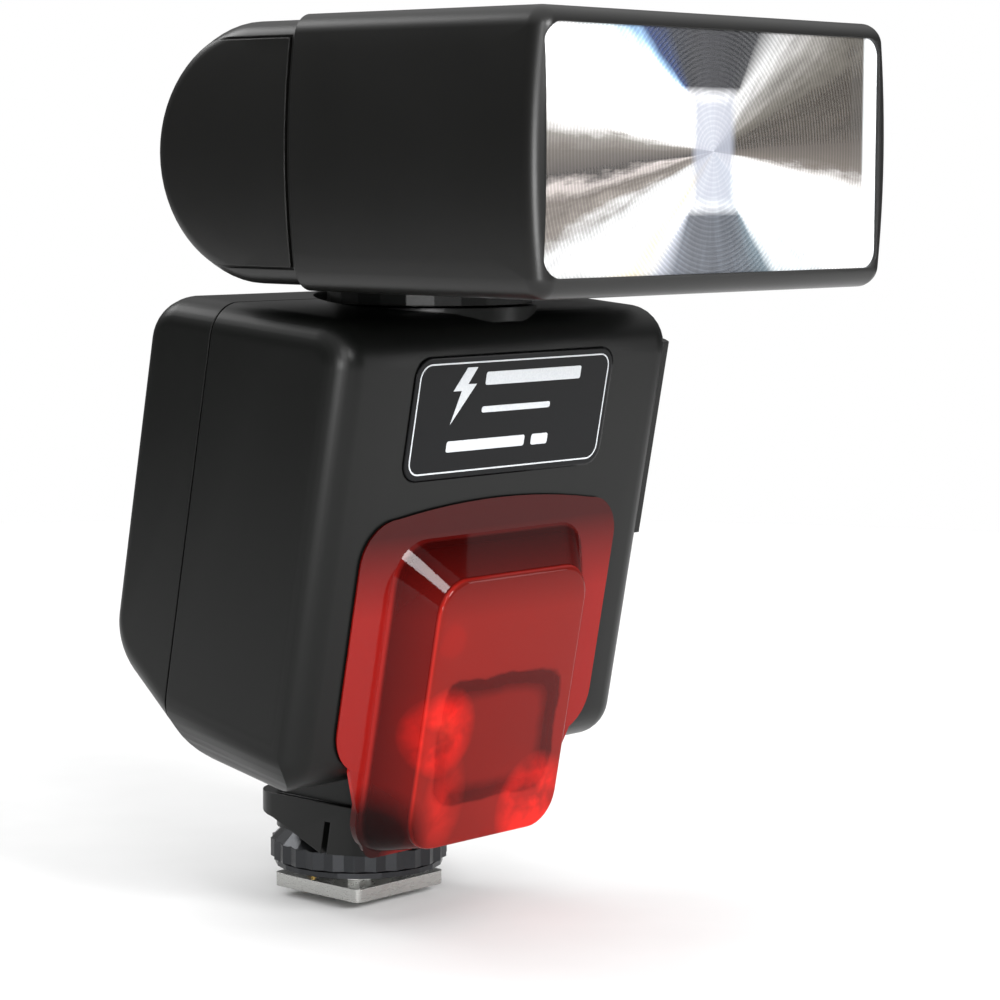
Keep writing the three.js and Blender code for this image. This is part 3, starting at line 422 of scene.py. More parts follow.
def combine(target, other, how="DIFFERENCE"):
    """Cuts, joins or crosses target with other by Blender's exact boolean, and removes other."""
    modifier = target.modifiers.new("cut", "BOOLEAN")
    modifier.operation = how
    modifier.solver = "EXACT"
    modifier.object = other
    graph = bpy.context.evaluated_depsgraph_get()
    graph.update()
    result = bpy.data.meshes.new_from_object(target.evaluated_get(graph))
    target.modifiers.clear()
    target.data = result
    bpy.data.objects.remove(other)
    return target


def crisp(made, sharp_deg=32):
    """Smooth shading again after a cut, with the new edges kept sharp."""
    made.data.shade_smooth()
    made.data.set_sharp_from_angle(angle=math.radians(sharp_deg))
    return made


def prism(name, outline, low, high, place, finish=None):
    """A straight prism of an outline, between two heights. place turns (u, v, w) into millimetres."""
    rings = [[place(u, v, w) for u, v in outline] for w in (low, high)]
    return mesh_piece(name, *join_rings(rings), finish or inner_abs)


def rect(left, right_side, bottom, top, radius, inset=0.0, steps=6):
    corners = [(left, bottom, radius), (right_side, bottom, radius), (right_side, top, radius),
               (left, top, radius)]
    return round_outline(corners, [inset] * 4, steps)


def raised(name, outline, low, high, edge, place, finish, steps=4, sharp_deg=32):
    """A plate with a rounded upper rim. outline(inset) gives its points drawn in by that much."""
    rings = [[place(u, v, low) for u, v in outline(0.0)]]
    for k in range(steps + 1):
        angle = math.pi / 2 * k / steps
        rings.append([place(u, v, high - edge * (1 - math.sin(angle)))
                      for u, v in outline(edge * (1 - math.cos(angle)))])
    return mesh_piece(name, *join_rings(rings), finish, sharp_deg)


def turned(name, profile, place, finish, sides=96, sharp_deg=32):
    """A lathe piece from (radius, height) points that start and end on the axis or close."""
    rings = []
    for k in range(sides):
        angle = 2 * math.pi * k / sides
        rings.append([place(r * math.cos(angle), r * math.sin(angle), h) for r, h in profile])
    count = len(profile)
    vertices = [point for ring in rings for point in ring]
    faces = []
    for r in range(sides):
        s = (r + 1) % sides
        for i in range(count):
            j = (i + 1) % count
            faces.append((r * count + i, s * count + i, s * count + j, r * count + j))
    return mesh_piece(name, vertices, faces, finish, sharp_deg)


def flat(x, y, z):
    return (x, y, z)


print("a 10 by 6 mm plate with round corners has", len(rect(0, 10, 0, 6, 1)), "points")

# %% [markdown]
# ## Head shells
# The head is a bar with a D-shaped rear end that rolls about the tilt axis. Its sides are slightly
# barrelled, which keeps a big moulded wall from looking sunken. The front shell is a little larger
# than the rear one, so the joint between them is a fine step that catches the light.

# %% Head form
HEAD_HALF = 38.0
HEAD_HIGH = 18.45
HEAD_FRONT = -53.8
HEAD_SEAM = -9.8
HEAD_BULGE = 1.5
HEAD_STEP = 0.7
HEAD_ROUNDS = [2.7, 2.7, 2.7, 2.7]


def head_place(x, y, z):
    """A point about the tilt axis, in the flash's own frame."""
    return (x, TILT.y + y, TILT.z + z)


def closed(rings, shares=(0.08, 0.35, 0.6, 0.85)):
    """Adds rings that shrink to the middle of each end, so that a curved end has points to bend."""
    def shrunk(ring, share):
        u = (min(p[1] for p in ring) + max(p[1] for p in ring)) / 2
        v = (min(p[2] for p in ring) + max(p[2] for p in ring)) / 2
        return [(p[0], u + (p[1] - u) * share, v + (p[2] - v) * share) for p in ring]
    first = [shrunk(rings[0], share) for share in shares]
    last = [shrunk(rings[-1], share) for share in reversed(shares)]
    return first + rings + last


def filled(points, per_corner, parts):
    """Adds points along the straight stretches of an outline, so that a curved side can bend there."""
    full = []
    for i, (u, v) in enumerate(points):
        full.append((u, v))
        next_u, next_v = points[(i + 1) % len(points)]
        if (i + 1) % per_corner == 0 and math.hypot(next_u - u, next_v - v) > 1:
            full += [(u + (next_u - u) * k / parts, v + (next_v - v) * k / parts) for k in range(1, parts)]
    return full


def head_form(name, inset, front, finish):
    """The head's outer form, drawn in by the inset, from a front plane back to the round end."""
    half = HEAD_HALF - inset
    high = HEAD_HIGH - inset
    corners = [(front, -high, 2.8), (high, -high, high), (high, high, high), (front, high, 2.8)]
    stations = side_stations(half, set(HEAD_ROUNDS), 9)
    rings = []
    for x in [-s for s in reversed(stations)] + stations[1:]:
        outline = filled(round_outline(corners, [inset_at(x, half, r) for r in HEAD_ROUNDS], 16), 17, 12)
        rings.append([(x, u, v) for u, v in outline])
    placed = [[head_place(x * (1 - HEAD_BULGE / half * (v / high) ** 2), u, v) for x, u, v in ring]
              for ring in closed(rings)]
    return mesh_piece(name, *join_rings(placed), finish)


def box_outline(left, right_side, low, high):
    return [(left, low), (right_side, low), (right_side, high), (left, high)]


def d_outline(front, half_height, radius, steps=40):
    """Square in front, and an arc about the tilt axis behind."""
    first = math.asin(min(1, half_height / radius))
    arc = [-first + 2 * first * k / steps for k in range(steps + 1)]
    return [(front, -half_height)] + [(radius * math.cos(a), radius * math.sin(a)) for a in arc] + [
        (front, half_height)]


def head_side(u, v, w):
    return head_place(w, u, v)


def head_face(u, v, w):
    return head_place(u, w, v)


print("head form: rounded by", HEAD_ROUNDS[0], "mm at its edges")

# %% [markdown]
# The front shell is a box that is open to the rear, with a window in its face. Inside, it has six small
# seats for the two guide rods and the lead screw of the zoom. The hollow could be an inset copy of the
# form, but a plain box leaves walls of the same thickness and cuts cleanly.

# %% Head front shell
WINDOW = {"left": -36.0, "right": 34.8, "low": -15.7, "high": 16.3, "corner": 2.6}
SEAM_GAP = 0.15
FAR = 60
ROD_PLACES = ((33, -8.5), (-33, -8.5), (33, 8.5))
SEAT_STARTS = (-50.2, -18.8)
SEAT_DEEP = 2.4
SEAT_HALF = 2.7


def window_outline(inset):
    return rect(WINDOW["left"], WINDOW["right"], WINDOW["low"], WINDOW["high"], WINDOW["corner"], inset, 8)


def rod_seat(x, z, start):
    """A block on the side wall with a hole for the rod."""
    side = 1 if x > 0 else -1
    left, right_side = sorted((side * 30.6, side * 36.0))
    seat = prism("seat", box_outline(left, right_side, z - SEAT_HALF, z + SEAT_HALF), start,
                 start + SEAT_DEEP, head_face)
    rod_hole = turned("hole", [(0.05, -FAR), (1.4, -FAR), (1.4, 0), (0.05, 0)],
                      lambda u, v, w: head_place(x + u, w, z + v), inner_abs, 20)
    return combine(seat, rod_hole)


front_head = head_form("head_front", 0, HEAD_FRONT, head_abs)
combine(front_head, prism("cut", box_outline(-FAR, FAR, -40, 40), HEAD_SEAM - SEAM_GAP, FAR, head_face))
combine(front_head, prism("cut", rect(-35.2, 35.2, -16.3, 16.3, 3.2), -51.7, -5, head_face))
combine(front_head, prism("cut", window_outline(0), -FAR, -50, head_face))
for x, z in ROD_PLACES:
    for start in SEAT_STARTS:
        combine(front_head, rod_seat(x, z, start), "UNION")
crisp(front_head)
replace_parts(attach(front_head, "head"), "head_front_shell")
print("head front shell:", len(front_head.data.vertices), "points")

# %% [markdown]
# The rear shell has three chambers: a wide one on each side, and one in the middle for the drum of the
# neck. The walls between them carry the tilt axle. A slot below and behind lets the neck through as the
# head tilts, and each side has a D-shaped pocket for its cover.

# %% Head rear shell and side covers
CHAMBER_RADIUS = 15.75
CHAMBERS = ((-34, -15.2), (-13.2, 13.2), (15.2, 34))
SLOT_HALF = 13
SLOT_REACH = 9.5
AXLE_HOLE = 3.3

rear_head = head_form("head_rear", HEAD_STEP, -FAR, head_abs)
combine(rear_head, prism("cut", box_outline(-FAR, FAR, -40, 40), -80, HEAD_SEAM + SEAM_GAP, head_face))
for low, high in CHAMBERS:
    combine(rear_head, prism("cut", d_outline(-30, CHAMBER_RADIUS, CHAMBER_RADIUS), low, high, head_side))
combine(rear_head, prism("cut", box_outline(-SLOT_REACH, FAR, -FAR, SLOT_REACH), -SLOT_HALF, SLOT_HALF,
                         head_side))
for side in (-1, 1):
    low, high = sorted((side * 35.8, side * FAR))
    combine(rear_head, prism("cut", d_outline(-8.8, 15.6, 17.0), low, high, head_side))
combine(rear_head, turned("hole", [(0.05, -FAR), (AXLE_HOLE, -FAR), (AXLE_HOLE, FAR), (0.05, FAR)],
                          head_side, inner_abs, 32))
crisp(rear_head)
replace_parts(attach(rear_head, "head"), "head_rear_shell")

for side, name in ((-1, "side_cap_left"), (1, "side_cap_right")):
    cover = head_form(name + "_cover", HEAD_STEP - 0.25, -FAR, head_abs)
    low, high = sorted((side * 36.1, side * FAR))
    combine(cover, prism("cut", d_outline(-8.5, 15.3, 16.7), low, high, head_side), "INTERSECT")
    crisp(cover)
    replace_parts(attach(cover, "head"), name)
print("head rear shell:", len(rear_head.data.vertices), "points, and two covers")

# %% [markdown]
# ## Lens and reflector
# The lens is a Fresnel lens: a thick lens cut into rings and pressed flat. Its grooves throw an image
# of the bright reflector all over the window, so what the eye sees is a fan of light and dark wedges
# that meet in the middle. That reflection is painted into the lens's colour, by angle about the lens's
# own centre, with fine radial streaks, and the grooves are relief. Real grooves are 0.5 mm apart, and
# they are drawn at 0.65.

# %% Painted reflection: light and dark of the fan
# Stops of (angle in degrees about the lens's middle, colour) of the painted reflection: the reflector's side
# walls first, then its end walls.
LENS_Z = TILT.z + 0.35
FAN_X = -2.0
SIDE_WALL_REFLECTION = [(-180, "#67615c"), (-174, "#4a4644"), (-171, "#c8bfbb"), (-168, "#67605b"), (-163, "#827b75"),
            (-158, "#cfd0d0"), (-146, "#eceded"), (-136, "#e6ddc8"), (-126, "#ffffff"), (-40, "#dfe6ea"),
            (-30, "#ffffff"), (-9, "#f2f0ee"), (-4, "#6a635d"), (6, "#4a4540"), (17, "#46413b"),
            (26, "#646059"), (36, "#908d89"), (50, "#d9d9d9"), (90, "#ffffff"), (160, "#ffffff"),
            (173, "#e8e6e4"), (177, "#827e79"), (180, "#67615c")]
END_WALL_REFLECTION = [(-180, "#ffffff"), (-142, "#ffffff"), (-128, "#b4b8c2"), (-112, "#6c7079"), (-90, "#5f6269"),
           (-70, "#666b72"), (-52, "#7d8a92"), (-38, "#ffffff"), (34, "#ffffff"), (50, "#b0b0b0"),
           (62, "#3c3d40"), (90, "#323337"), (118, "#2e3139"), (138, "#30406a"), (146, "#8fb4d8"),
           (153, "#e6f5fb"), (160, "#ffffff"), (180, "#ffffff")]


def ramp_of(tree, stops, factor):
    """A colour ramp with any number of (place, hex) stops."""
    ramp = add_node(tree, "ShaderNodeValToRGB", {"Fac": factor})
    elements = ramp.color_ramp.elements
    while len(elements) < len(stops):
        elements.new(0.5)
    for element, (at, _) in zip(elements, sorted(stops)):
        element.position = at
    for element, (_, code) in zip(elements, sorted(stops)):
        element.color = linear(code)
    return ramp


print("fan:", len(SIDE_WALL_REFLECTION) + len(END_WALL_REFLECTION), "stops of light and dark")

# %% [markdown]
# In the painted reflection the reflector's side walls fan out from one point, and its end walls from the
# corners of a small box, the back of the reflector. So the two fans are worked out apart and multiplied.
# The tint also gets drawn-out streaks, and the fine dark lines that the grooves make are painted in as shade.

# %% Pressed acrylic for the lens, with a painted reflection


def fan_share(tree, axes_x, axes_z):
    """The angle about a middle as a share of the full turn, from 0 to 1."""
    angle = add_node(tree, "ShaderNodeMath", {0: axes_z, 1: axes_x}, operation="ARCTAN2")
    return add_node(tree, "ShaderNodeMapRange", {"Value": angle.outputs[0], "From Min": -math.pi,
                                                 "From Max": math.pi}).outputs["Result"]


def beyond(tree, socket, limit_mm):
    """How far a coordinate is past a limit on either side of zero, with its sign kept."""
    held = add_node(tree, "ShaderNodeClamp", {"Value": socket, "Min": -limit_mm * MM, "Max": limit_mm * MM})
    return add_node(tree, "ShaderNodeMath", {0: socket, 1: held.outputs[0]}, operation="SUBTRACT").outputs[0]


def multiply(tree, share, first, second):
    return add_node(tree, "ShaderNodeMix", {0: share, 6: first, 7: second}, data_type="RGBA",
                    blend_type="MULTIPLY").outputs[2]


def painted_reflection_material(name, groove_mm, clear, roughness):
    """Clear plastic with the reflector's image painted into its colour as a fan of wedges, under concentric
    grooves.
    """
    made, tree = material(name)
    where = add_node(tree, "ShaderNodeTexCoord")
    centred = add_node(tree, "ShaderNodeMapping", {"Vector": where.outputs["Object"],
                                                   "Location": (-FAN_X * MM, 0, -LENS_Z * MM),
                                                   "Scale": (1, 0, 1)})
    axes = add_node(tree, "ShaderNodeSeparateXYZ", {"Vector": centred.outputs["Vector"]})
    reach = add_node(tree, "ShaderNodeVectorMath", {0: centred.outputs["Vector"]}, operation="LENGTH")
    share = fan_share(tree, axes.outputs["X"], axes.outputs["Z"])
    trough = fan_share(tree, beyond(tree, axes.outputs["X"], 4.5), beyond(tree, axes.outputs["Z"], 7.0))
    polar = add_node(tree, "ShaderNodeCombineXYZ", {"X": share, "Y": reach.outputs["Value"]})
    drawn = add_node(tree, "ShaderNodeMapping", {"Vector": polar.outputs["Vector"], "Scale": (46, 70, 1)})
    streaks = add_node(tree, "ShaderNodeTexNoise", {"Vector": drawn.outputs["Vector"], "Scale": 1.0,
                                                    "Detail": 5.0, "Roughness": 0.65})
    spread = add_node(tree, "ShaderNodeMath", {0: streaks.outputs["Fac"], 1: 0.04, 2: -0.02},
                      operation="MULTIPLY_ADD")
    moved = [add_node(tree, "ShaderNodeMath", {0: one, 1: spread.outputs[0]}).outputs[0]
             for one in (share, trough)]
    sides, ends = [ramp_of(tree, [((a + 180) / 360, code) for a, code in stops], factor).outputs["Color"]
                   for stops, factor in zip((SIDE_WALL_REFLECTION, END_WALL_REFLECTION), moved)]
    high = add_node(tree, "ShaderNodeMath", {0: axes.outputs["Z"]}, operation="ABSOLUTE")
    past_box = add_node(tree, "ShaderNodeMapRange", {"Value": high.outputs[0], "From Min": 5.5 * MM,
                                                     "From Max": 8.5 * MM})
    inside = ramp_of(tree, [(0.5, "#000000"), (1.0, "#ffffff")], past_box.outputs["Result"])
    ends = add_node(tree, "ShaderNodeMix", {0: inside.outputs["Color"], 6: linear("#ffffff"), 7: ends},
                    data_type="RGBA").outputs[2]
    fan = multiply(tree, 1.0, sides, ends)
    shade = ramp_of(tree, [(0.3, "#8c8c8c"), (0.62, "#ffffff")], streaks.outputs["Fac"])
    streaked = multiply(tree, 0.45, fan, shade.outputs["Color"])
    turns = add_node(tree, "ShaderNodeMath", {0: reach.outputs["Value"], 1: 2000 * math.pi / groove_mm},
                     operation="MULTIPLY")
    wave = add_node(tree, "ShaderNodeMath", {0: turns.outputs[0]}, operation="SINE")
    # painted shade: fine dark rings where the grooves bend the light away
    groove_shade_lines = ramp_of(tree, [(0.0, "#b4b4b4"), (0.8, "#ffffff")], wave.outputs[0])
    lined = multiply(tree, 0.45, streaked, groove_shade_lines.outputs["Color"])
    # painted reflection: the reflector's pale grey back wall in the middle of the lens
    well = add_node(tree, "ShaderNodeVectorMath", {0: centred.outputs["Vector"], 1: (205, 0, 118)},
                    operation="MULTIPLY")
    spans = add_node(tree, "ShaderNodeVectorMath", {0: well.outputs["Vector"]}, operation="ABSOLUTE")
    across = add_node(tree, "ShaderNodeSeparateXYZ", {"Vector": spans.outputs["Vector"]})
    box = add_node(tree, "ShaderNodeMath", {0: across.outputs["X"], 1: across.outputs["Z"]},
                   operation="MAXIMUM")
    back_wall_reflection = ramp_of(tree, [(0.7, "#e8e8e8"), (1.0, "#000000")], box.outputs[0])
    middle = add_node(tree, "ShaderNodeMix", {0: back_wall_reflection.outputs["Color"], 6: lined,
                                              7: linear("#8d919d")}, data_type="RGBA")
    # painted reflection: a pale bright strip along the lens's right edge
    edge = add_node(tree, "ShaderNodeMapRange", {"Value": axes.outputs["X"], "From Min": 33.4 * MM,
                                                 "From Max": 34.2 * MM})
    tint = add_node(tree, "ShaderNodeMix", {0: edge.outputs["Result"], 6: middle.outputs[2],
                                            7: linear("#e9ecee")}, data_type="RGBA")
    relief = add_node(tree, "ShaderNodeBump", {"Height": wave.outputs[0], "Strength": 0.5,
                                               "Distance": 0.012 * MM})
    solid = add_node(tree, "ShaderNodeBsdfPrincipled", {
        "Base Color": tint.outputs[2], "Roughness": roughness, "IOR": 1.49,
        "Specular IOR Level": 0.22, "Normal": relief.outputs["Normal"]})
    through = add_node(tree, "ShaderNodeBsdfTransparent", {"Color": (1, 1, 1, 1)})
    finish_material(tree, add_node(tree, "ShaderNodeMixShader", {0: clear, 1: solid.outputs[0],
                                                                 2: through.outputs[0]}))
    return made


# Acrylic pressed on an engraved plate: clear, glossy, broken up by its grooves, and with the reflector's
# image painted into its colour.
lens_with_painted_reflection = painted_reflection_material("fresnel_acrylic_painted_reflection", 0.65, 0.10, 0.2)

lens = raised("fresnel_lens_ribbed", lambda inset: window_outline(0.3 + inset), -51.2, -53.3, -0.3,
              head_face, lens_with_painted_reflection)
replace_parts(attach(lens, "head"), "fresnel_lens")
print("lens:", len(lens.data.vertices), "points")

# %% [markdown]
# ## Body shells
# The body is the same kind of slab, but it leans forward. It is drawn in its own upright
# measure (across, depth from the front face, height down from the front's top edge) and leaned last.

# %% Body form
BODY_HALF = 35.3
BODY_DEEP = 39
WALL = 2
BODY_LEAN = math.radians(10.77)
BODY_CORNERS = [(0, -67, 6), (8, -68.6, 6), (20, -68.6, 8), (BODY_DEEP, -57.9, 9), (BODY_DEEP, -4.2, 6),
                (0, 0, 6)]
BODY_ROUNDS = [4.5, 4.5, 4.5, 2.2, 4.5, 4.5]
PARTING = 26.0
FRONT_CORNER = 10


def body_place(x, depth, rise):
    """A point of the upright body, leaned into the flash's own frame."""
    lean, stand = math.sin(BODY_LEAN), math.cos(BODY_LEAN)
    return (x, -33 + depth * stand - rise * lean, 86.8 + depth * lean + rise * stand)


def body_face(u, v, w):
    return body_place(u, w, v)


def body_level(u, v, w):
    return body_place(u, v, w)


def body_form(name, inset, finish):
    half = BODY_HALF - inset
    rounds = [r - inset for r in BODY_ROUNDS]
    stations = side_stations(half, set(rounds), 8)
    rings = []
    for x in [-s for s in reversed(stations)] + stations[1:]:
        outline = round_outline(BODY_CORNERS, [inset + inset_at(x, half, r) for r in rounds], 8)
        rings.append([body_place(x, u, v) for u, v in outline])
    form = mesh_piece(name, *join_rings(rings), finish)
    face = rect(-half, half, -69.6 + inset, 30, FRONT_CORNER - inset, 0, 12)
    return combine(form, prism("keep", face, -9, 60, body_face), "INTERSECT")


def level_outline(grow):
    """The body's section at one height, with its own roundings, grown or drawn in."""
    half = BODY_HALF + grow
    front_round, rear_round = BODY_ROUNDS[5] + grow, BODY_ROUNDS[3] + grow
    corners = [(-half, -grow, front_round), (half, -grow, front_round),
               (half, BODY_DEEP + grow, rear_round), (-half, BODY_DEEP + grow, rear_round)]
    return round_outline(corners, [0] * 4, 8)


def level_slab(name, outer, inner, low, high, block):
    """A wall that follows the body's section: outer form less inner form, kept inside a block."""
    wall = prism(name, level_outline(outer), low, high, body_level)
    combine(wall, prism("cut", level_outline(inner), low - 5, high + 5, body_level))
    keep = prism("keep", box_outline(*block), low - 9, high + 9, body_level)
    return combine(wall, keep, "INTERSECT")


def upright_bar(radius, low, high, x=0.0, y=0.0, sides=64):
    return turned("bar", [(0.02, low), (radius, low), (radius, high), (0.02, high)],
                  lambda u, v, w: (x + u, y + v, w), inner_abs, sides)


def depth_bar(radius, start, end, x, drop, sides=32):
    return turned("bar", [(0.02, start), (radius, start), (radius, end), (0.02, end)],
                  lambda u, v, w: body_place(x + u, w, -drop + v), inner_abs, sides)


def lamp_flange(inset, steps=10):
    """The arched outline of the red window's flange."""
    half, side, low, radius = 26.5 - inset, -28.4 - inset, -64.5 + inset, max(6 - inset, 1)
    points = []
    for cx, cy, first in ((-half + radius, low + radius, 180), (half - radius, low + radius, 270),
                          (half - radius, side - radius, 0)):
        for k in range(steps + 1):
            a = math.radians(first + 90 * k / steps)
            points.append((cx + radius * math.cos(a), cy + radius * math.sin(a)))
    for k in range(1, 12):
        t = k / 12
        x = (half - radius) * (1 - 2 * t)
        points.append((x, side + 2 * t * (1 - t) * 2 * 1.6))
    for k in range(steps + 1):
        a = math.radians(90 + 90 * k / steps)
        points.append((-half + radius + radius * math.cos(a), side - radius + radius * math.sin(a)))
    return points


print("body leans", round(math.degrees(BODY_LEAN), 2), "degrees")

# %% [markdown]
# The body is made once as a closed hollow, with its neck seat, its door opening and the ledge that the
# door slides over, and is then cut along the parting into a front and a rear shell. Two shells that come
# from one form are sure to meet.

# %% Hollow body
SEAT_TOP = 88.0
SEAT_RADIUS = 17.0

hollow = body_form("body_shell", 0, body_abs)
combine(hollow, body_form("core", WALL, body_abs))
combine(hollow, upright_bar(15.4, SEAT_TOP - WALL, SEAT_TOP, 0, TILT.y), "UNION")
combine(hollow, upright_bar(SEAT_RADIUS, SEAT_TOP, 112.0, 0, TILT.y))
combine(hollow, upright_bar(3.5, 79.0, 112.0, 0, TILT.y))
combine(hollow, level_slab("ledge", -1.3, -2.9, -44.9, -35.3, (22, 60, -0.25, 34.9)), "UNION")
combine(hollow, level_slab("track", 3, -1.3, -43.6, -4.7, (20, 60, 0.75, 33.9)))
combine(hollow, prism("cut", box_outline(22, 60, 2.5, 33.2), -35.3, -5.9, body_level))
print("hollow body:", len(hollow.data.vertices), "points")

# %% [markdown]
# Three screw posts join the halves: each runs across the parting, with a pilot hole, and a recess for
# the screw's head behind. The front gets shallow recesses for its plate and for the red window, and the
# rear one for the key panel, with the openings that the keys, the switch and the display need.

# %% Front and rear shells
POSTS = ((-30.4, 46.5), (30.4, 46.5), (-30.4, 12.5))
POST_RADIUS = 3.1
PILOT_RADIUS = 1.3
KEYS = (("mode_key", -11.5), ("zoom_key", 0.0), ("light_key", 11.5))
KEY_DROP = 36
TEST_AT = (12, 46)
SWITCH_SLOT_AT = (-11, 46)


def key_outline(inset):
    return rect(-3.9, 3.9, -2.3, 2.3, 1.6, inset)


def at(x, drop):
    """A placing function about a point on the rear face."""
    return lambda u, v, w: body_place(x + u, w, -drop + v)


def display_opening():
    return prism("cut", rect(-18.8, 18.8, -29.3, -11.7, 1.5), 35, 50, body_face)


def key_openings(piece):
    """Cuts the holes of the keys, the test key and the switch through a piece of the rear face."""
    for _, x in KEYS:
        combine(piece, prism("cut", key_outline(-0.3), 35, 50, at(x, KEY_DROP)))
    combine(piece, depth_bar(3.7, 35, 50, *TEST_AT))
    combine(piece, prism("cut", rect(-5.4, 5.4, -2.4, 2.4, 0.3), 35, 50, at(*SWITCH_SLOT_AT)))


front_body = hollow
rear_body = bpy.data.objects.new("body_rear", hollow.data.copy())
bpy.context.scene.collection.objects.link(rear_body)
combine(front_body, prism("cut", box_outline(-FAR, FAR, -120, FAR), PARTING - SEAM_GAP, 80, body_face))
combine(rear_body, prism("cut", box_outline(-FAR, FAR, -120, FAR), -40, PARTING + SEAM_GAP, body_face))
for x, drop in POSTS:
    combine(front_body, depth_bar(POST_RADIUS, PARTING - 12, PARTING - SEAM_GAP, x, drop), "UNION")
    combine(rear_body, depth_bar(POST_RADIUS, PARTING + SEAM_GAP, 38.0, x, drop), "UNION")
    combine(front_body, depth_bar(PILOT_RADIUS, PARTING - 13, PARTING + 1, x, drop))
    combine(rear_body, depth_bar(PILOT_RADIUS, PARTING - 1, 41, x, drop))
    combine(rear_body, depth_bar(2.2, 36.7, 41, x, drop))
combine(front_body, prism("cut", box_outline(-15, 15, -61, -38), -9, 3, body_face))
combine(front_body, prism("cut", rect(-20.9, 20.9, -22.9, -5.2, 2.8), -9, 0.9, body_face))
combine(front_body, prism("cut", lamp_flange(-0.3), -9, 1.1, body_face))
combine(rear_body, prism("cut", rect(-23.3, 23.3, -53.3, -9.2, 3.3), 38.4, 50, body_face))
combine(rear_body, display_opening())
key_openings(rear_body)
crisp(front_body, 30)
crisp(rear_body, 30)
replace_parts(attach(front_body, "root"), "front_shell")
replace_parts(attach(rear_body, "root"), "rear_shell")
print("body shells:", len(front_body.data.vertices), "and", len(rear_body.data.vertices), "points")

# %% [markdown]
# ## Battery door
# The door is the same wall pushed out by 0.8 mm, so it wraps the front rounding of the body. A small
# tab below carries the knuckle that the hinge pin runs through.

# %% Battery door
KNUCKLE_FROM, KNUCKLE_TO = 9.8, 27.2

door = level_slab("battery_door_skin", 0.8, -1.0, -35.0, -5.3, (20, 60, 1.05, 33.6))
knuckle = turned("knuckle", [(0.9, KNUCKLE_FROM), (1.2, KNUCKLE_FROM), (1.2, KNUCKLE_TO), (0.9, KNUCKLE_TO)],
                 lambda u, v, w: body_place(35.5 + u, w, -36.9 + v), body_abs, 24)
tab = prism("tab", box_outline(34.8, 36.5, KNUCKLE_FROM, KNUCKLE_TO), -36.0, -34.5, body_level)
combine(door, tab, "UNION")
combine(door, knuckle, "UNION")
door.data.materials.clear()
door.data.materials.append(body_abs)
crisp(door, 30)
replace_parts(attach(door, "door"), "battery_door")
print("door:", len(door.data.vertices), "points")

# %% [markdown]
# ## Front plate
# A glossy acrylic plate lies in a recess of the front, with marks in silver ink: a flash bolt, plain
# bars and a thin line round the edge. Printed ink could be a painted picture, but thin raised pieces
# stay sharp from any distance.

# %% Front plate and its marks
INK_FROM, INK_TO = -0.14, -0.2
BOLT = [(-1.2, -15.0), (0.3, -10.2), (-1.4, -10.2), (0.9, -6.9), (3.0, -6.9), (1.4, -9.3), (3.2, -9.3)]
BOLT_SHIFT = 11.5
BARS = ((-6.5, 13.8, -9.6, -7.7), (-6.5, 8.0, -13.6, -12.7), (-12.8, 3.5, -19.0, -17.4),
        (5.0, 8.5, -19.0, -17.4))

label = raised("label_plate_gloss", lambda inset: rect(-20.6, 20.6, -22.6, -5.5, 2.5, inset), 0.6, -0.15,
               -0.35, body_face, cover_gloss)
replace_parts(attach(label, "root"), "label_plate")

# Screen-printed ink with metal flakes: pale, satin, and a little uneven from the mesh of the screen.
silver_ink, tree = material("silver_printing_ink")
where = add_node(tree, "ShaderNodeTexCoord")
screen_dots = add_node(tree, "ShaderNodeTexNoise", {"Vector": where.outputs["Object"], "Scale": 3500.0})
ink = ramp_of(tree, [(0.2, "#c4c8cc"), (0.8, "#d6d9db")], screen_dots.outputs["Fac"])
finish_material(tree, add_node(tree, "ShaderNodeBsdfPrincipled", {
    "Base Color": ink.outputs["Color"], "Metallic": 0.35, "Roughness": 0.4}))


def mark(name, outline):
    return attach(prism(name, outline, INK_FROM, INK_TO, body_face, silver_ink), "root")


def edge_band(name, outline, width):
    """A thin band of ink of even width along an outline."""
    band = prism(name, outline(0.0), INK_FROM, INK_TO + 0.01, body_face, silver_ink)
    return crisp(combine(band, prism("cut", outline(width), INK_TO - 1, INK_FROM + 1, body_face)))


mark("label_bolt", [(x - BOLT_SHIFT, y) for x, y in BOLT])
for i, bar in enumerate(BARS):
    mark("label_bar_%d" % (i + 1), rect(*bar, 0.35))
edge_line = edge_band("label_edge_line", lambda inset: rect(-20.0, 20.0, -22.0, -6.1, 2.1, inset), 0.22)
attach(edge_line, "root")
print("front plate with", len(BARS) + 2, "marks")

# %% [markdown]
# ## Rear face
# The key panel is a thin gloss plate with the same openings as the shell behind it, and the display
# window is a dark pane that sits a little lower, as a real display does.

# %% Key panel and display window
panel = raised("key_panel_gloss", lambda inset: rect(-23, 23, -53, -9.5, 3, inset), 38.7, 39.45, 0.35,
               body_face, cover_gloss)
key_openings(panel)
combine(panel, display_opening())
crisp(panel)
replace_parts(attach(panel, "root"), "key_panel")
screen = raised("display_window_clear", lambda inset: rect(-18.5, 18.5, -29, -12, 1.2, inset), 38.05, 39.25,
                0.25, body_face, cover_gloss)
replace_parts(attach(screen, "root"), "display_window")
print("key panel:", len(panel.data.vertices), "points")

# %% [markdown]
# The keys are moulded rubber with a rounded rim, the round test key has a dished top, and the switch
# has grooves for a fingernail. The screws are turned, and two crossed slots are cut into their heads.

# %% Keys, switch and screws
KEY_BASE, KEY_TOP = 35.8, 40.55
SWITCH_AT = (-13, 46)
GROOVES = (-1.8, -0.6, 0.6, 1.8)
TEST_PROFILE = [(0.02, KEY_BASE), (3.4, KEY_BASE), (3.4, 40.0), (3.25, 40.35), (2.9, KEY_TOP), (1.6, 40.35),
                (0.02, 40.2)]
SCREW_PROFILE = [(0.02, 23.6), (1.0, 23.6), (1.0, 37.0), (1.9, 37.0), (1.9, 38.2), (1.6, 38.5), (0.02, 38.6)]

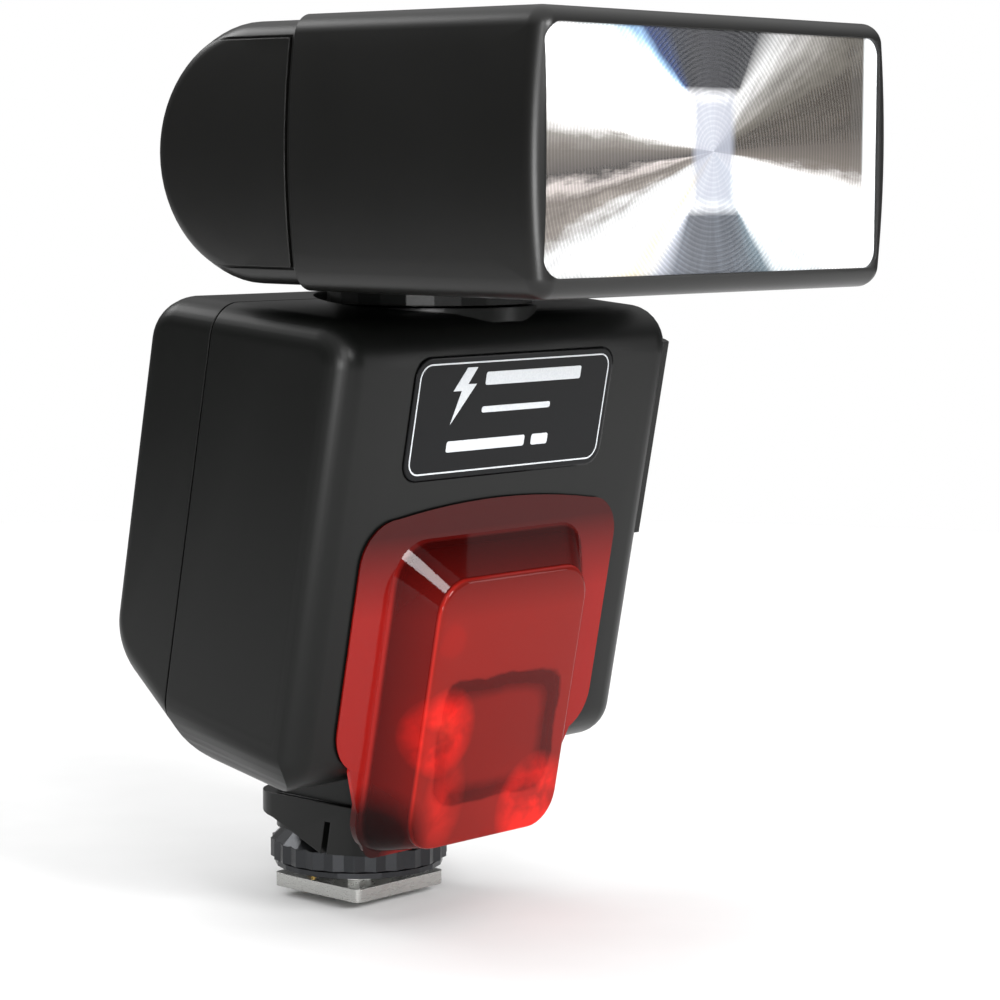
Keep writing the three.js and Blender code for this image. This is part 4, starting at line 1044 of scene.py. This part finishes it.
for name, x in KEYS:
    key = raised(name + "_cap", key_outline, KEY_BASE, KEY_TOP, 0.5, at(x, KEY_DROP), key_rubber)
    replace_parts(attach(key, name), name)
test = turned("test_key_cap", TEST_PROFILE, at(*TEST_AT), key_rubber, 64)
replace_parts(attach(test, "test_key"), "test_key")
switch = raised("power_switch_cap", lambda inset: rect(-3.1, 3.1, -2.1, 2.1, 0.3, inset), KEY_BASE, KEY_TOP,
                0.3, at(*SWITCH_AT), key_rubber)
for groove in GROOVES:
    combine(switch, prism("cut", box_outline(groove - 0.25, groove + 0.25, -3, 3), 40.25, 42, at(*SWITCH_AT)))
crisp(switch)
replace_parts(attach(switch, "switch"), "power_switch")
for i, post in enumerate(POSTS):
    screw = turned("shell_screw_%d_pan" % (i + 1), SCREW_PROFILE, at(*post), blackened, 40)
    for wide, tall in ((1.1, 0.22), (0.22, 1.1)):
        combine(screw, prism("cut", box_outline(-wide, wide, -tall, tall), 37.8, 42, at(*post)))
    crisp(screw)
    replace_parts(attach(screw, "root"), "shell_screw_%d" % (i + 1))
print("rear face:", len(KEYS) + 1, "keys, a switch and", len(POSTS), "screws")

# %% [markdown]
# ## Red window
# The focus-assist lamp shines a pattern through a hollow block of red acrylic. Acrylic of this depth
# looks nearly black where the wall is seen on edge, and bright where the lamp behind it lights it, so
# the material lets a third of the light through, keeps a polished skin, and has that dark and bright
# painted into its colour as painted shade and painted light, with a painted glow where the lamp's
# light would be caught in the plastic.

# %% Body axes and soft patches of painted light and shade
FRONT_EDGE_MM = (0, 16.2, -91.44)  # brings the front's top edge to zero once the lean is taken out


def leaned_axes(tree):
    """Across, depth and rise of the leaning body, in millimetres, as three sockets."""
    where = add_node(tree, "ShaderNodeTexCoord")
    leaned = add_node(tree, "ShaderNodeMapping", {
        "Vector": where.outputs["Object"], "Rotation": (-BODY_LEAN, 0, 0), "Scale": (1000, 1000, 1000),
        "Location": FRONT_EDGE_MM})
    return leaned.outputs["Vector"], add_node(tree, "ShaderNodeSeparateXYZ",
                                              {"Vector": leaned.outputs["Vector"]})


def patch(tree, point, middle, reach, stops):
    """A soft round patch about a place on the front, as a colour that fades to black."""
    moved = add_node(tree, "ShaderNodeMapping", {
        "Vector": point, "Location": (-middle[0] / reach[0], 0, -middle[1] / reach[1]),
        "Scale": (1 / reach[0], 0, 1 / reach[1])})
    far = add_node(tree, "ShaderNodeVectorMath", {0: moved.outputs["Vector"]}, operation="LENGTH")
    return ramp_of(tree, stops, far.outputs["Value"]).outputs["Color"]


print("body axes turned back by", round(math.degrees(BODY_LEAN), 2), "degrees")

# %% [markdown]
# The red is drawn by depth, with painted light and shade in it: the flange's edge is a painted highlight,
# the walls seen on edge are painted nearly black as shade, and the front face is a clear red. A painted
# shadow darkens it toward the crown, where the block meets the shadow of the body.

# %% Red acrylic: colour, painted highlight and painted shade by depth
red_acrylic, tree = material("red_acrylic_painted_light_and_shade")
point, axes = leaned_axes(tree)
flow = add_node(tree, "ShaderNodeTexNoise", {"Vector": point, "Scale": 0.16, "Detail": 3.0,
                                             "Distortion": 0.3})
layers = add_node(tree, "ShaderNodeMapRange", {"Value": axes.outputs["Y"], "From Min": -6.6, "From Max": 0.4})
# painted highlight on the block's front rounding (0.10) and on the flange's rim (0.94 to 1.0); painted shade
# on the walls seen on edge (0.17 to 0.80)
RED_AND_PAINTED_LIGHT_BY_DEPTH = [(0.0, "#8e1c17"), (0.06, "#86211b"), (0.10, "#c02a22"), (0.17, "#68110e"), (0.80, "#520a08"),
               (0.86, "#8a1a16"), (0.91, "#7c1512"), (0.94, "#a8201b"), (1.0, "#b5241f")]
by_depth = ramp_of(tree, RED_AND_PAINTED_LIGHT_BY_DEPTH, layers.outputs["Result"])
# painted shadow: darker toward the crown, where the block meets the shadow of the body
crown_painted_shadow = add_node(tree, "ShaderNodeMapRange", {
    "Value": axes.outputs["Z"], "From Min": -42.0, "From Max": -30.5, "To Min": 0.0, "To Max": 0.85})
shaded = add_node(tree, "ShaderNodeMix", {0: crown_painted_shadow.outputs["Result"], 6: by_depth.outputs["Color"],
                                          7: linear("#150202")}, data_type="RGBA")
print("stain by depth:", len(RED_AND_PAINTED_LIGHT_BY_DEPTH), "stops")

# %% [markdown]
# Behind the face sits the holder of the lamp, a soft squared ring; its dark image through the red is painted
# into the colour as shade.
# Where the lamp's light would be caught, the plastic is given a painted glow, in three patches broken up
# by the flow of the moulding.

# %% Red acrylic: painted shade of the lamp holder, and painted glow
HOLDER_HALF = (14, 10.5)
HOLDER_DROP = 60.5
# painted shade: the lamp holder's squared ring, darker through the red
centred = add_node(tree, "ShaderNodeMapping", {
    "Vector": point, "Location": (0, 0, HOLDER_DROP / HOLDER_HALF[1]),
    "Scale": (1 / HOLDER_HALF[0], 0, 1 / HOLDER_HALF[1])})
spans = add_node(tree, "ShaderNodeVectorMath", {0: centred.outputs["Vector"]}, operation="ABSOLUTE")
sides = add_node(tree, "ShaderNodeSeparateXYZ", {"Vector": spans.outputs["Vector"]})
ring = add_node(tree, "ShaderNodeMath", {0: sides.outputs["X"], 1: sides.outputs["Z"], 2: 0.5},
                operation="SMOOTH_MAX")
wobble = add_node(tree, "ShaderNodeMath", {0: flow.outputs["Fac"], 1: 0.16, 2: ring.outputs[0]},
                  operation="MULTIPLY_ADD")
holder_painted_shade = ramp_of(tree, [(0.66, "#e8dcda"), (0.84, "#8a7371"), (0.96, "#94807e"), (1.1, "#ffffff")],
                  wobble.outputs[0])
# painted shade: the block's lower left corner darkened
toe_painted_shade = patch(tree, point, (-19.0, -76.5), (7.5, 10.0), [(0.0, "#3a2020"), (0.55, "#5a3030"), (1.0, "#ffffff")])
held = multiply(tree, 0.9, shaded.outputs[2], holder_painted_shade.outputs["Color"])
red_with_painted_shade = multiply(tree, 1.0, held, toe_painted_shade)
# painted glow: three emitting patches on the red plastic, which is no lamp
hot = patch(tree, point, (-11.5, -58.5), (6.5, 7.0), [(0.0, "#ff3a2a"), (0.5, "#f01a10"), (1.0, "#000000")])
low_hot = patch(tree, point, (10.0, -72.5), (8.0, 8.5),
                [(0.0, "#ff2014"), (0.6, "#d8160c"), (1.0, "#000000")])
trail = patch(tree, point, (-9.5, -69.0), (4.5, 8.0), [(0.0, "#c0160e"), (0.5, "#90120c"), (1.0, "#000000")])
both = add_node(tree, "ShaderNodeMix", {0: 1.0, 6: hot, 7: low_hot}, data_type="RGBA", blend_type="ADD")
three = add_node(tree, "ShaderNodeMix", {0: 1.0, 6: both.outputs[2], 7: trail}, data_type="RGBA",
                 blend_type="ADD")
broken = ramp_of(tree, [(0.34, "#8a8a8a"), (0.56, "#ffffff")], flow.outputs["Fac"])
painted_glow = multiply(tree, 1.0, three.outputs[2], broken.outputs["Color"])
print("lamp holder (mm):", [2 * half for half in HOLDER_HALF])

# %% [markdown]
# Moulded acrylic keeps the polish of its mould, with a faint ripple where it flowed, and its edges let
# some light through.

# %% Red acrylic: skin
ripple = add_node(tree, "ShaderNodeBump", {"Height": flow.outputs["Fac"], "Strength": 0.12,
                                           "Distance": 0.15 * MM})
skin = add_node(tree, "ShaderNodeBsdfPrincipled", {
    "Base Color": red_with_painted_shade, "Roughness": 0.06, "IOR": 1.49, "Specular IOR Level": 0.16,
    "Emission Color": painted_glow, "Emission Strength": 1.2, "Normal": ripple.outputs["Normal"]})
clear = add_node(tree, "ShaderNodeBsdfTransparent", {"Color": linear("#c01410")})
thin = add_node(tree, "ShaderNodeMapRange", {
    "Value": layers.outputs["Result"], "From Min": 0.80, "From Max": 0.86, "To Min": 0.3, "To Max": 0.04})
finish_material(tree, add_node(tree, "ShaderNodeMixShader", {0: thin.outputs["Result"], 1: skin.outputs[0],
                                                             2: clear.outputs[0]}))
print("red acrylic:", len(tree.nodes), "nodes")

# %% [markdown]
# The block itself is a hollow frustum on an arched flange, with a tongue below that lies on the
# pedestal. Its front edge is rounded in small steps.

# %% Red window block
TONGUE_HALF, TOE_HALF = 24.0, 17.5
ROUND_STEPS = 6


def block_outline(inset, corner=6.0):
    return rect(-20.5 + inset, 20.5 - inset, -78.0 + inset * 0.35, -31.0 - inset, corner, 0, 8)


def lamp_block(name, skin, finish):
    """The frustum of the red block: straight sides that draw in, and a rounded front edge."""
    base = 1.0 if skin == 0 else -0.6
    rings = [[body_face(u, v, base) for u, v in block_outline(skin)],
             [body_face(u, v, -0.05 - skin) for u, v in block_outline(skin)]]
    for k in range(ROUND_STEPS + 1):
        a = math.pi / 2 * k / ROUND_STEPS
        depth = -6.3 + skin + 0.9 * (1 - math.sin(a))
        draw = 4.9 + 0.7 * (1 - math.cos(a))
        rings.append([body_face(u, v, depth) for u, v in block_outline(skin + draw, 5.0)])
    return mesh_piece(name, *join_rings(rings), finish)


red = raised("af_window_block", lamp_flange, 0.8, -0.4, -0.45, body_face, red_acrylic, 5)
tongue_corners = [(-TONGUE_HALF, -62, 0.3), (-TOE_HALF, -78.3, 2.5), (TOE_HALF, -78.3, 2.5),
                  (TONGUE_HALF, -62, 0.3)]
plate = raised("tongue", lambda inset: round_outline(tongue_corners, [inset] * 4, 6), 0.75, -0.35, -0.4,
               body_face, red_acrylic)
combine(red, plate, "UNION")
combine(red, lamp_block("block", 0, red_acrylic), "UNION")
combine(red, lamp_block("hollow", 1.5, red_acrylic))
combine(red, prism("cut", box_outline(-15, 15, -61, -38), -1, 3, body_face))
red.data.materials.clear()
red.data.materials.append(red_acrylic)
crisp(red, 24)
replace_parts(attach(red, "root"), "af_window")
print("red window:", len(red.data.vertices), "points")

# %% [markdown]
# ## Pedestal
# Below the body a wedge-shaped neck hides the lock ring from the front. Its cheeks come down outside
# the ring, so the ring can still be turned with a thumb from behind.

# %% Pedestal
CHEEK = [(-19, 9.4), (-15, 9.2), (-8.6, 8.6), (1.5, 12.6), (6.5, 13.4), (6.5, 16.2), (-19, 16.2)]
GRIP_SLOT = [(-9.6, 8.0), (-8.4, 8.0), (-9.4, 13.5), (-10.6, 13.5)]


def from_side(u, v, w):
    """Depth and height of a side view, with the width given last."""
    return (w, u, v)


stand = prism("pedestal_wedge", rect(-15.6, 15.6, -17.6, 4.6, 5), 10.9, 30, flat, body_abs)
cheeks = prism("cheeks", CHEEK, -16.6, 16.6, from_side)
combine(cheeks, prism("keep", rect(-16.6, 16.6, -19, 6.5, 5), 0, 40, flat), "INTERSECT")
combine(stand, cheeks, "UNION")
combine(stand, upright_bar(14.3, 0, 10.9))
combine(stand, upright_bar(6.8, 0, 12.7))
for side in (-1, 1):
    near, far = sorted((side * 15.4, side * 20))
    combine(stand, prism("slot", GRIP_SLOT, near, far, from_side))
combine(stand, body_form("clear", -0.3, body_abs))
combine(stand, prism("guard", [(-30, -60), (-20.5, -82), (20.5, -82), (30, -60)], -30, 1.1, body_face))
stand.data.materials.clear()
stand.data.materials.append(body_abs)
crisp(stand, 30)
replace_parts(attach(stand, "root"), "pedestal")
print("pedestal:", len(stand.data.vertices), "points")

# %% [markdown]
# ## Small parts on the frame's own bodies
# The foot, the lock ring, the neck and everything inside keep the frame's meshes. Each one gets the
# finish of the real part. Most of these are a base material with one pattern in it, so one function
# makes them, and the pattern's scale is the real one in millimetres.

# %% Patterned finishes


def patterned(name, stops, scale_mm, roughness, metallic=0.0, stretch=(1, 1, 1), depth=0.02, kind="noise"):
    """A finish whose colour and relief come from one pattern: noise, cells or stripes."""
    made, tree = material(name)
    where = add_node(tree, "ShaderNodeTexCoord")
    sized = add_node(tree, "ShaderNodeMapping", {"Vector": where.outputs["Object"], "Scale": stretch})
    size = {"Vector": sized.outputs["Vector"], "Scale": 1000 / scale_mm}
    if kind == "noise":
        pattern = add_node(tree, "ShaderNodeTexNoise", {**size, "Detail": 3.0}).outputs["Fac"]
    elif kind == "cells":
        pattern = add_node(tree, "ShaderNodeTexVoronoi", size, distance="CHEBYCHEV").outputs["Distance"]
    else:
        pattern = add_node(tree, "ShaderNodeTexWave", {**size, "Distortion": 0.4}).outputs["Fac"]
    tint = ramp_of(tree, stops, pattern)
    relief = add_node(tree, "ShaderNodeBump", {"Height": pattern, "Strength": 0.4, "Distance": depth * MM})
    finish_material(tree, add_node(tree, "ShaderNodeBsdfPrincipled", {
        "Base Color": tint.outputs["Color"], "Metallic": metallic, "Roughness": roughness,
        "Normal": relief.outputs["Normal"]}))
    return made


# Green solder mask over copper: glossy enough to show the board's edges, with gold where pads lie bare.
solder_mask = patterned("solder_masked_board", [(0.2, "#0f3a22"), (0.5, "#1b5c36"), (0.62, "#c9a24a")], 2.4,
                        0.35, kind="cells")
# Heat-shrunk PVC sleeve: a tight blue-black skin with a smooth, slightly wavy shine.
sleeve = patterned("shrink_sleeve", [(0.4, "#14161c"), (0.6, "#1d2029")], 3.0, 0.25)
# Printed metal foil round a cell: half metallic, with a soft shade along its length.
battery_film = patterned("printed_battery_film", [(0.35, "#4d5154"), (0.6, "#74797c")], 9.0, 0.3, 0.5,
                         (0.2, 1, 1))
# Enamelled wire in close turns: drawn coarser than the real 0.2 mm wire, so the turns can be seen.
winding = patterned("enamelled_copper_wire", [(0.2, "#6b3018"), (0.7, "#c07a45")], 1.1, 0.35, 0.9,
                    kind="stripes", stretch=(1, 0.02, 0.02))
# Bright rolled aluminium: a mirror with the long faint streaks of the rollers.
rolled = patterned("bright_rolled_aluminium", [(0.3, "#b9bcc0"), (0.7, "#eceef0")], 1.5, 0.14, 1.0,
                   (0.15, 1, 3))
# Quartz: pale and very smooth, with only a trace of cloud from the drawing of the tube.
quartz = patterned("quartz_tube", [(0.3, "#dfe6ea"), (0.7, "#f4f8fa")], 2.0, 0.05)
# Display glass: the grey-green of an unlit liquid-crystal panel, with its cells just visible.
display_glass = patterned("display_glass", [(0.1, "#56604f"), (0.5, "#78836c")], 1.6, 0.2, kind="cells")
made_here = (solder_mask, sleeve, battery_film, winding, rolled, quartz, display_glass)
print("patterned finishes:", ", ".join(finish.name for finish in made_here))

# %% [markdown]
# The focus lamp's epoxy is cast round a lit chip, so its colour is also its light.

# %% Lit epoxy of the focus lamp
led_red, tree = material("lit_led_epoxy")
where = add_node(tree, "ShaderNodeTexCoord")
swirl = add_node(tree, "ShaderNodeTexNoise", {"Vector": where.outputs["Object"], "Scale": 400.0})
heat = ramp_of(tree, [(0.3, "#ff2a18"), (0.7, "#ff6a50")], swirl.outputs["Fac"])
finish_material(tree, add_node(tree, "ShaderNodeBsdfPrincipled", {
    "Base Color": heat.outputs["Color"], "Roughness": 0.1, "Emission Color": heat.outputs["Color"],
    "Emission Strength": 3.0}))
print("focus lamp epoxy:", len(tree.nodes), "nodes")

# %% [markdown]
# Each frame part is given its finish by name. The meshes themselves stay as they came.

# %% Dress the frame's parts
DRESS = {
    (body_abs, "shell_black"): ("swivel_retainer", "neck", "door_carriage"),
    (inner_abs, "shell_black"): ("battery_tray", "af_projector"),
    (nickel, "steel"): ("hot_shoe_foot", "locking_pin"),
    (ground, "steel"): ("inner_contact_plate", "door_contact_plate", "door_hinge_pin", "tilt_axle",
                        "click_spring", "click_plate", "guide_rod_left", "guide_rod_right", "lead_screw",
                        "zoom_motor"),
    (blackened, "dark_steel"): ("lock_washer", "lock_ring"),
    (gold, "brass"): ("centre_contact", "data_contact_1", "data_contact_2", "data_contact_3", "motor_pinion"),
    (winding, "brass"): ("transformer",),
    (solder_mask, "circuit"): ("main_board",),
    (sleeve, "gloss_black"): ("main_capacitor",),
    (battery_film, "key_grey"): ("battery_cell_1", "battery_cell_2", "battery_cell_3", "battery_cell_4"),
    (display_glass, "key_grey"): ("display_module",),
    (rolled, "reflector"): ("reflector",),
    (quartz, "tube_glass"): ("flash_tube",),
    (led_red, "tube_glass"): ("af_led",),
}
dressed = 0
for (finish, slot_name), names in DRESS.items():
    for name in names:
        node = frame["nodes"][name]
        node.data.materials.clear()
        node.data.materials.append(finish)
        node.data.shade_smooth()
        node.data.set_sharp_from_angle(angle=math.radians(32))
        dressed += 1
print(dressed, "carried-over parts dressed")

# %% Write the sizes and finish
low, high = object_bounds()
print("size of the visual model (mm):", [round((b - a) / MM, 1) for a, b in zip(low, high)])
